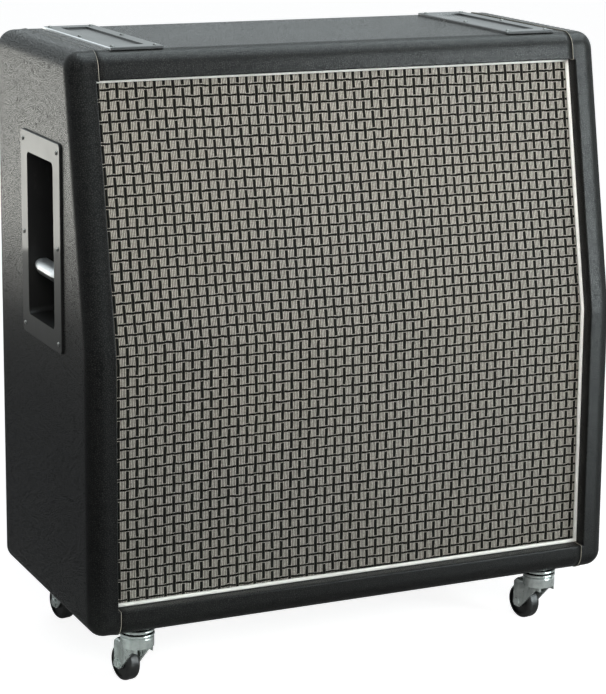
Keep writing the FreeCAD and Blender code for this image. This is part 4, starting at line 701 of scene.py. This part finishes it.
class CABINET_OT_cloth(bpy.types.Operator):
    """Stretch the check cloth over the baffle, behind the lip"""

    bl_idname = "cabinet.cloth"
    bl_label = "Grille cloth"

    def execute(self, context):
        s, f = context.scene.cabinet_sizes, context.scene.cabinet_finish
        gap, sink, fold, soft = 0.0003, 0.0002, 0.002, 0.01
        rim = s.lip + gap
        side = s.width / 2 - rim
        low, high, kink = s.base + rim, s.base + s.height - rim, s.base + s.kink - fold
        z = steps((low, 60), (kink - soft, 16), (kink + soft, 60), (high, 1))
        x = np.linspace(-side, side, 141)
        y = front_line(z, s, s.recess + sink)
        run = np.concatenate([[0.0], np.cumsum(np.hypot(np.diff(z), np.diff(y)))])
        grid = np.stack(np.broadcast_arrays(x[None, :], y[:, None], z[:, None]), -1)
        # The threads wander a little, as a slow wave of each map coordinate along the other.
        uu, vv = np.meshgrid(x, run)
        drift_u = 0.0006 * np.sin(9.0 * vv + 1.3) + 0.0004 * np.sin(23.0 * vv + 5.0 * uu)
        drift_v = 0.0010 * np.sin(6.0 * uu + 0.4) + 0.0005 * np.sin(17.0 * uu + 4.0 * vv)
        flat = np.stack([uu + drift_u, vv + drift_v], -1)
        piece = surface("grille_sheet", [grid], flip=True, maps=[flat], weld=False, sharp=60.0)
        settle(piece, cloth_finish(f), ["grille_cloth"])
        return {"FINISHED"}


def full(t):
    """A cosine or sine drawn out towards the square of a superellipse."""
    return np.sign(t) * np.abs(t) ** 0.75


class CABINET_OT_piping(bpy.types.Operator):
    """Run the piping round the cloth, against the lining of the lip"""

    bl_idname = "cabinet.piping"
    bl_label = "Piping"

    def execute(self, context):
        s, f = context.scene.cabinet_sizes, context.scene.cabinet_finish
        # A rounded bead, as a superellipse, carried round the mitred and kinked loop of the cloth's edge.
        gap = 0.0002
        turn = np.linspace(0, 2 * np.pi, 20, endpoint=False)
        inset = (s.lip + gap + s.bead_wide / 2 * (1 + full(np.cos(turn))))[:, None]
        proud = (s.bead_tall / 2 * (1 + full(np.sin(turn))))[:, None]
        across = np.linspace(0, 1, 61)[None, :-1]
        kink = (s.kink - s.lip) / (s.height - 2 * s.lip)
        before, after = 0.015, 0.01
        rise = steps((0.0, 30), (kink - before, 14), (kink + after, 30), (1.0, 1))[None, :-1]
        side = s.width / 2 - inset
        low, high = s.base + inset, s.base + s.height - inset
        level = low + (high - low) * rise
        sink = high - (high - low) * rise
        along = 2 * side * across - side
        x = np.concatenate([along, side + 0 * level, -along, -side + 0 * sink], 1)
        z = np.concatenate([low + 0 * across, level, high + 0 * across, sink], 1)
        lean = math.atan2(s.setback, s.height - s.kink)
        deep = s.recess - proud
        over = z - (s.base + s.kink - deep * math.tan(lean / 2))
        y = -s.depth / 2 + deep + np.maximum(over, 0.0) * math.tan(lean)
        grid = np.stack([x, y, z], -1)
        step = np.linalg.norm(np.diff(grid[:1], axis=1, append=grid[:1, :1]), axis=-1)
        run = np.concatenate([[[0.0]], np.cumsum(step, 1)[:, :-1]], 1)
        flat = np.stack([run + 0 * inset, (turn / (2 * np.pi))[:, None] + 0 * run], -1)
        piece = surface("piping_bead", [grid], wrap=(True, True), maps=[flat], weld=False)
        settle(piece, piping_finish(f), ["piping"])
        return {"FINISHED"}


def bar_mask(t, edge, blur):
    """1 within the edge on both sides of zero, falling straight to 0 over the blur."""
    return np.clip((edge + blur - np.abs(t)) / (2 * blur), 0, 1)


def screw_shape(s, long):
    """A raised head with a cross recess over a plain shank, as rings. With r as a share of its radius the
    head rises as (1 - r**3.2)**(1/2), a little more in the middle. The cross is the larger of two soft bars,
    each the product of a mask across and a mask along."""
    cross_deep, step = 0.0013, 0.00002
    r = np.concatenate([np.linspace(0, 0.62, 10), np.linspace(0.66, 1.0, 9)])
    turn = np.linspace(0, 2 * np.pi, 40, endpoint=False)
    x, y = r[:, None] * np.cos(turn), r[:, None] * np.sin(turn)
    bars = [bar_mask(a, 0.11, 0.05) * bar_mask(b, 0.46, 0.08) for a, b in ((x, y), (y, x))]
    dome = np.sqrt(np.clip(1 - r**3.2, 0, 1)) * (0.82 + 0.18 * np.sqrt(np.clip(1 - r**2, 0, 1)))
    z = s.head_tall * dome[:, None] - cross_deep * np.maximum(*bars)
    head = np.stack([s.head * x, s.head * y, z], -1)
    rings = np.array([[s.head, -step], [s.shank, -step], [s.shank, -long], [0.0, -long - s.shank]])
    tail = np.stack([rings[:, :1] * np.cos(turn), rings[:, :1] * np.sin(turn), rings[:, 1:] + 0 * turn], -1)
    return np.concatenate([head, tail])


GOLDEN_ANGLE = 2.39996


def screw_set(s, name, spots, ways, long, node, material):
    """One piece of screws at spots, each turned by the golden angle and pointing out along its way. One way
    serves for all."""
    shape = screw_shape(s, long)
    patches = []
    for number, (spot, out) in enumerate(zip(spots, np.broadcast_to(ways, np.shape(spots)).astype(float))):
        side = np.cross(out, [0.0, 0.0, 1.0] if abs(out[2]) < 0.5 else [0.0, 1.0, 0.0])
        up = np.cross(out, side)
        c, k = math.cos(GOLDEN_ANGLE * number), math.sin(GOLDEN_ANGLE * number)
        a, b = c * side + k * up, -k * side + c * up
        patches.append(np.array(spot) + shape[..., :1] * a + shape[..., 1:2] * b + shape[..., 2:] * out)
    settle(surface(name, patches, wrap=(False, True), sharp=50.0), material, [node])


class CABINET_OT_screws(bpy.types.Operator):
    """Set the cross-head screws of the handles, stacking plates, back panel and jack plate"""

    bl_idname = "cabinet.screws"
    bl_label = "Screws"

    def execute(self, context):
        s, f = context.scene.cabinet_sizes, context.scene.cabinet_finish
        steel = plated_finish("screw_steel", f.screw, (0.2, 0.34))
        dark = plated_finish("screw_dark", (0.16, 0.16, 0.155), (0.3, 0.45))
        roof, rear = s.base + s.height, s.depth / 2 - s.back_inset
        two = (-1.0, 1.0)
        six = [(e, a, b) for e in two for a in two for b in (-1.0, 0.0, 1.0)]
        out, mid = s.width / 2 + s.handle_thick, roof - s.handle_drop
        across, along = s.handle_screw_y, s.handle_screw_z
        spots = [(e * out, across * a - s.handle_ahead, mid + along * b) for e, a, b in six]
        ways = [(e, 0, 0) for e, _, _ in six]
        screw_set(s, "screws_handles", spots, ways, s.screw_long, "handle_screws", steel)
        top = roof + s.plate_thick
        across, along = s.plate_screw_x, s.plate_screw_y
        spots = [(e * s.plate_mid + across * a, s.plate_back + along * b, top) for e, a, b in six]
        screw_set(s, "screws_stacking", spots, (0, 0, 1), s.screw_long, "stacking_plate_screws", dark)
        inset = s.wall + s.back_margin
        edge, low, high = s.width / 2 - inset, s.base + inset, roof - inset
        spots = [(k * edge, rear, z) for z in (low, high) for k in (-1, -0.5, 0, 0.5, 1)]
        spots += [(e * edge, rear, low + k * (high - low)) for e in two for k in (0.25, 0.5, 0.75)]
        screw_set(s, "screws_back", spots, (0, 1, 0), s.back_screw_long, "back_panel_screws", dark)
        out, mid = rear + s.jack_thick, s.base + s.kink - s.jack_drop
        spots = [(s.jack_screw_x * a, out, mid + s.jack_screw_z * b) for a in two for b in two]
        screw_set(s, "screws_jack", spots, (0, 1, 0), s.screw_long, "jack_plate_screws", dark)
        dress(["driver_screws"], dark)
        return {"FINISHED"}


class CABINET_OT_fittings(bpy.types.Operator):
    """Finish the handles, stacking plates and jack"""

    bl_idname = "cabinet.fittings"
    bl_label = "Handles, plates and jack"

    def execute(self, context):
        s = context.scene.cabinet_sizes
        # A painted highlight on the upper side of the grips, made as wear to bright metal, between the
        # plate's back and the depth of the pocket.
        grip_glint_deep, grip_glint_low, spare = 0.023, 0.0005, 0.001
        front, half = s.width / 2 + spare / 2, s.grip_long / 2
        mid = s.base + s.height - s.handle_drop - s.grip_drop
        reach = (-s.handle_ahead - half, -s.handle_ahead + half)
        upper = (mid - grip_glint_low, mid + s.grip_thick / 2 + spare)
        deep = s.width / 2 - grip_glint_deep
        gloss = moulded_finish(
            "handle_black",
            low=(0.006, 0.006, 0.006),
            high=(0.010, 0.010, 0.0095),
            rough=(0.46, 0.52),
            grain=300.0,
            depth=0.00002,
            specular=0.3,
            coat=0.25,
            worn_glints=[((-front, -deep), reach, upper), ((deep, front), reach, upper)],
        )
        dress(["handle_left", "handle_right"], gloss)
        # The left plate's outer edge has a painted highlight, made as wear to bright metal, and the front
        # edges of both are dull.
        edge, edge_glint_wide = -s.plate_mid - s.plate_wide / 2, 0.0016
        satin = moulded_finish(
            "plate_black",
            low=(0.020, 0.021, 0.022),
            high=(0.032, 0.034, 0.036),
            rough=(0.26, 0.36),
            grain=1500.0,
            depth=0.0001,
            specular=1.0,
            worn_glints=[((edge - edge_glint_wide, edge + edge_glint_wide), (-s.depth, s.depth), (0.0, 2 * s.height))],
            dull=s.plate_back - s.plate_long / 2,
        )
        dress(["stacking_plate_left", "stacking_plate_right"], satin)
        tones = (0.012, 0.012, 0.012), (0.02, 0.02, 0.02)
        dress(["jack_plate"], moulded_finish("jack_plate_paint", *tones, (0.3, 0.42), 1200.0, 0.00008))
        dress(["jack_socket", "jack_nut"], plated_finish("jack_chrome", (0.7, 0.71, 0.72), (0.12, 0.22)))
        return {"FINISHED"}


def race_shape(s):
    """A caster's stem and fixed race as a profile turned about the swivel axis: a narrow collar, a rolled
    ring as half a circle, a groove, and the lower race with its edge as half an ellipse, over the pin and its
    head. A drop counts down from the body's underside."""
    stem, stem_up, seat_drop, collar = 0.0055, 0.017, 0.0015, 0.0172
    ring, ring_drop, ring_round = 0.0213, 0.0070, 0.0021
    groove, race, race_drop, race_out, race_half = 0.0188, 0.0222, 0.0129, 0.0012, 0.0017
    pin_head, pin_drop, pin_end = 0.009, 0.0298, 0.0323
    c, k = (part(np.linspace(np.pi / 2, -np.pi / 2, 9)) for part in (np.cos, np.sin))
    neck = [(0.0, stem_up), (stem, stem_up), (stem, -seat_drop), (collar, -seat_drop)]
    above = neck + [(collar, ring_round - ring_drop)]
    roll = np.stack([ring + ring_round * c, ring_round * k - ring_drop], -1)
    waist = [(groove, -ring_drop - ring_round), (groove, race_half - race_drop)]
    foot = np.stack([race + race_out * c, race_half * k - race_drop], -1)
    pin = [(stem, -race_drop - race_half), (stem, -pin_drop), (pin_head, -pin_drop)]
    below = pin + [(pin_head, -pin_end), (0.0, -pin_end)]
    line = np.concatenate([above, roll, waist, foot, below])
    turn = np.linspace(0, 2 * np.pi, 56, endpoint=False)
    out, z = line[:, :1], s.base + line[:, 1:] + 0 * turn
    return np.stack([out * np.cos(turn), out * np.sin(turn), z], -1)


class CABINET_OT_casters(bpy.types.Operator):
    """Turn the fixed races and finish the casters"""

    bl_idname = "cabinet.casters"
    bl_label = "Casters"

    def execute(self, context):
        s, f = context.scene.cabinet_sizes, context.scene.cabinet_finish
        # Painted shade blackens the collar and the groove of the race, between these depths below the
        # underside.
        shade_drops = ((0.0050, 0.0), (0.0113, 0.0090))
        zinc = plated_finish(
            "zinc",
            tone=f.zinc,
            rough=(0.06, 0.14),
            brush=(1.0, 1.0, 0.15),
            streak=70.0,
            metal=0.72,
            fade=0.6,
            dent=0.0016,
            shade_bands=[(s.base - low, s.base - high) for low, high in shade_drops],
        )
        black = rubber_finish("wheel_black")
        corners = [a + "_" + b for a in ("front", "rear") for b in ("left", "right")]
        shape, x = race_shape(s), s.width / 2 - s.caster_side
        ends = (-s.depth / 2 + s.caster_front, s.depth / 2 - s.caster_rear)
        races = [shape + np.array([side * x, y, 0.0]) for y in ends for side in (-1.0, 1.0)]
        settle(surface("caster_races", races, wrap=(False, True)), zinc, ["caster_stems"])
        dress(["caster_sockets"], zinc)
        dress(["caster_fork_" + c for c in corners] + ["caster_axle_" + c for c in corners], zinc)
        dress(["caster_wheel_" + c for c in corners], black)
        return {"FINISHED"}


class CABINET_OT_timber(bpy.types.Operator):
    """Finish the shell, battens, baffles, back panel and brace"""

    bl_idname = "cabinet.timber"
    bl_label = "Timber"

    def execute(self, context):
        painted = 0.008
        rear = context.scene.cabinet_sizes.depth / 2 - painted
        ply = (0.52, 0.36, 0.20), (0.36, 0.23, 0.12)
        upright = wood_finish("ply_upright", *ply, (1.0, 1.0, 0.08), paint=rear)
        level = wood_finish("ply_level", *ply, (0.08, 1.0, 1.0), paint=rear)
        soft = wood_finish("timber", (0.58, 0.42, 0.24), (0.44, 0.29, 0.15), (0.1, 1.0, 0.3))
        tones = (0.012, 0.012, 0.012), (0.020, 0.020, 0.019)
        board = moulded_finish("back_board", *tones, (0.55, 0.7), 700.0, 0.0003, specular=0.3)
        dress(["side_panel_left", "side_panel_right", "baffle_lower", "baffle_upper"], upright)
        dress(["top_panel", "bottom_panel"], level)
        dress(["front_battens", "baffle_cleats", "back_cleats", "centre_brace"], soft)
        dress(["back_panel"], board)
        return {"FINISHED"}


class CABINET_OT_drivers(bpy.types.Operator):
    """Finish the four drivers inside"""

    bl_idname = "cabinet.drivers"
    bl_label = "Drivers"

    def execute(self, context):
        corners = [a + "_" + b for a in ("lower", "upper") for b in ("left", "right")]
        tones = (0.10, 0.105, 0.10), (0.14, 0.145, 0.14)
        paint = moulded_finish("basket_paint", *tones, (0.35, 0.5), 900.0, 0.0001)
        tones = (0.05, 0.05, 0.05), (0.09, 0.09, 0.088)
        iron = moulded_finish("magnet_iron", *tones, (0.45, 0.6), 500.0, 0.0002)
        paper = paper_finish("cone_paper", (0.10, 0.095, 0.085), (0.03, 0.028, 0.025))
        dress(["driver_basket_" + c for c in corners], paint)
        dress(["driver_magnet_" + c for c in corners], iron)
        dress(["driver_cone_" + c for c in corners] + ["driver_dust_caps", "driver_spiders"], paper)
        return {"FINISHED"}


def lamp(name, power, place, aim, sides, tint, spread, misses):
    """A soft rectangular lamp aimed at a point, unseen by the camera and by the rays that miss it."""
    data = bpy.data.lights.new(name, "AREA")
    data.shape = "RECTANGLE"
    data.size, data.size_y = sides
    data.energy = power
    data.color = tint
    data.spread = math.radians(spread)
    lamp_object = bpy.data.objects.new(name, data)
    lamp_object.visible_camera = False
    if misses:
        setattr(lamp_object, "visible_" + misses, False)
    bpy.context.scene.collection.objects.link(lamp_object)
    way = Vector(aim) - Vector(place)
    lamp_object.matrix_world = Matrix.Translation(place) @ way.to_track_quat("-Z", "Y").to_matrix().to_4x4()


# Each lamp: its power's property, place, aim, sides, tint, spread in degrees and the rays that miss it.
LAMPS = (
    ("overhead", (0.4, 0.6, 3.2), (0.0, 0.0, 0.6), (3.0, 3.0), (0.94, 0.97, 1.0), 180.0, None),
    ("roof", (0.6, -0.18, 1.9), (0.6, -0.18, 0.0), (2.4, 1.36), (0.86, 0.98, 1.0), 180.0, "diffuse"),
    ("side", (-1.0, 1.35, 0.835), (-0.37, 0.0, 1.195), (1.6, 1.1), (1.0, 1.0, 0.93), 40.0, None),
    ("front", (1.95, -2.6, 0.95), (0.2, -0.1, 0.5), (1.1, 1.6), (0.94, 1.0, 1.0), 180.0, None),
    ("key", (-0.4, -2.2, 1.5), (0.3, -0.1, 1.0), (1.8, 1.1), (1.0, 0.99, 0.97), 60.0, "glossy"),
    ("card", (0.84, -0.92, 0.62), (0.37, -0.18, 0.5), (0.7, 1.22), (0.86, 0.98, 1.0), 80.0, "diffuse"),
    ("low", (-0.95, -0.85, 0.05), (-0.33, -0.13, 0.05), (0.3, 0.06), (0.9, 1.0, 0.96), 16.0, "glossy"),
)
WHITE = (1.0, 1.0, 1.0)
PICTURE_WIDE = 606.0  # pixels


def pale_floor():
    """A wide plain floor just below the wheels. It takes shadows, and a glow that only straight rays see
    brings it up to white."""
    half, drop, glow = 30.0, 0.0005, 0.87
    x, y = np.meshgrid(np.linspace(-half, half, 13), np.linspace(-half, half, 13))
    floor = surface("floor", [np.stack([x, y, 0 * x - drop], -1)], flip=True, weld=False)
    m = Finish("floor_pale")
    tone = m.blend(m.noise(30.0, 4.0), (0.56, 0.56, 0.56), (0.60, 0.60, 0.60))
    m.set(Base_Color=tone, Roughness=0.9, Specular_IOR_Level=0.1)
    path = m.add("LightPath").outputs
    straight = m.math("MAXIMUM", path["Is Camera Ray"], path["Is Transmission Ray"])
    shine = m.add("Emission", {"Color": WHITE, "Strength": m.times(straight, glow)})
    both = m.add("AddShader", {0: m.shader.outputs[0], 1: shine.outputs[0]})
    m.links.new(both.outputs[0], m.nodes["Material Output"].inputs["Surface"])
    floor.data.materials.append(m.material)


def studio_world(level):
    """White where it is seen, straight or mirrored, and a faint even room for the light that it gives. A
    mirrored ray finds it cooler, and darker towards the front."""
    world = bpy.data.worlds.new("studio")
    w = Web(world)
    w.nodes.clear()
    path = w.add("LightPath").outputs
    mirrored = path["Is Glossy Ray"]
    way = w.add("SeparateXYZ", {0: w.add("TexCoord").outputs["Generated"]}).outputs[1]
    darker = w.remap(way, -0.3, 0.3, -0.65, 0.0)
    strength = w.math("MULTIPLY_ADD", mirrored, darker, 1.0)
    tint = w.blend(mirrored, WHITE, (0.90, 0.98, 1.0))
    white = w.add("Background", {"Color": tint, "Strength": strength})
    room = w.add("Background", {"Color": (0.92, 0.96, 1.0), "Strength": level})
    seen = w.math("MAXIMUM", path["Is Camera Ray"], mirrored)
    seen = w.math("MAXIMUM", seen, path["Is Transmission Ray"])
    mixed = w.add("MixShader", {0: seen, 1: room.outputs[0], 2: white.outputs[0]})
    w.add("OutputWorld", {"Surface": mixed.outputs[0]})
    return world


def picture_camera(st):
    """The camera, turned by yaw, then tilted by pitch and rolled, with its focal length given in pixels."""
    data = bpy.data.cameras.new("camera")
    data.sensor_fit = "HORIZONTAL"
    data.sensor_width = 36.0
    data.lens = st.focus / PICTURE_WIDE * data.sensor_width
    data.shift_x, data.shift_y = st.shift_x, st.shift_y
    data.clip_end = 200.0
    camera = bpy.data.objects.new("camera", data)
    level = math.cos(st.pitch)
    back = Vector((math.sin(st.yaw) * level, -math.cos(st.yaw) * level, math.sin(st.pitch)))
    right = Vector((math.cos(st.yaw), math.sin(st.yaw), 0.0))
    up = back.cross(right)
    c, k = math.cos(st.roll), math.sin(st.roll)
    turn = Matrix((c * right + k * up, -k * right + c * up, back)).transposed().to_4x4()
    camera.matrix_world = Matrix.Translation(st.camera) @ turn
    return camera


class CABINET_OT_stage(bpy.types.Operator):
    """Set the pale floor, the lamps and the camera"""

    bl_idname = "cabinet.stage"
    bl_label = "Stage"

    def execute(self, context):
        scene, st = context.scene, context.scene.cabinet_stage
        pale_floor()
        scene.world = studio_world(st.world)
        for name, *rest in LAMPS:
            lamp("lamp_" + name, getattr(st, name), *rest)
        scene.camera = picture_camera(st)
        scene.collection.objects.link(scene.camera)
        scene.view_settings.view_transform = "Standard"
        return {"FINISHED"}


class CABINET_PT_panel(bpy.types.Panel):
    """Sizes, finishes and builders of the cabinet"""

    bl_idname = "CABINET_PT_panel"
    bl_label = "Speaker cabinet"
    bl_space_type = "VIEW_3D"
    bl_region_type = "UI"
    bl_category = "Cabinet"

    def draw(self, context):
        for group in (context.scene.cabinet_sizes, context.scene.cabinet_finish, context.scene.cabinet_stage):
            box = self.layout.box()
            for name in group.bl_rna.properties.keys():
                if name not in ("rna_type", "name"):
                    box.prop(group, name)
        for builder in BUILDERS:
            self.layout.operator(builder.bl_idname)


BUILDERS = (
    CABINET_OT_covering,
    CABINET_OT_cloth,
    CABINET_OT_piping,
    CABINET_OT_screws,
    CABINET_OT_fittings,
    CABINET_OT_casters,
    CABINET_OT_timber,
    CABINET_OT_drivers,
    CABINET_OT_stage,
)
CLASSES = (CabinetSizes, CabinetFinish, CabinetStage, *BUILDERS, CABINET_PT_panel)


def register():
    for each in CLASSES:
        bpy.utils.register_class(each)
    bpy.types.Scene.cabinet_sizes = PointerProperty(type=CabinetSizes)
    bpy.types.Scene.cabinet_finish = PointerProperty(type=CabinetFinish)
    bpy.types.Scene.cabinet_stage = PointerProperty(type=CabinetStage)


def unregister():
    del bpy.types.Scene.cabinet_stage
    del bpy.types.Scene.cabinet_finish
    del bpy.types.Scene.cabinet_sizes
    for each in reversed(CLASSES):
        bpy.utils.unregister_class(each)


def main():
    register()
    for builder in BUILDERS:
        group, name = builder.bl_idname.split(".")
        getattr(getattr(bpy.ops, group), name)()


if __name__ == "__main__":
    main()
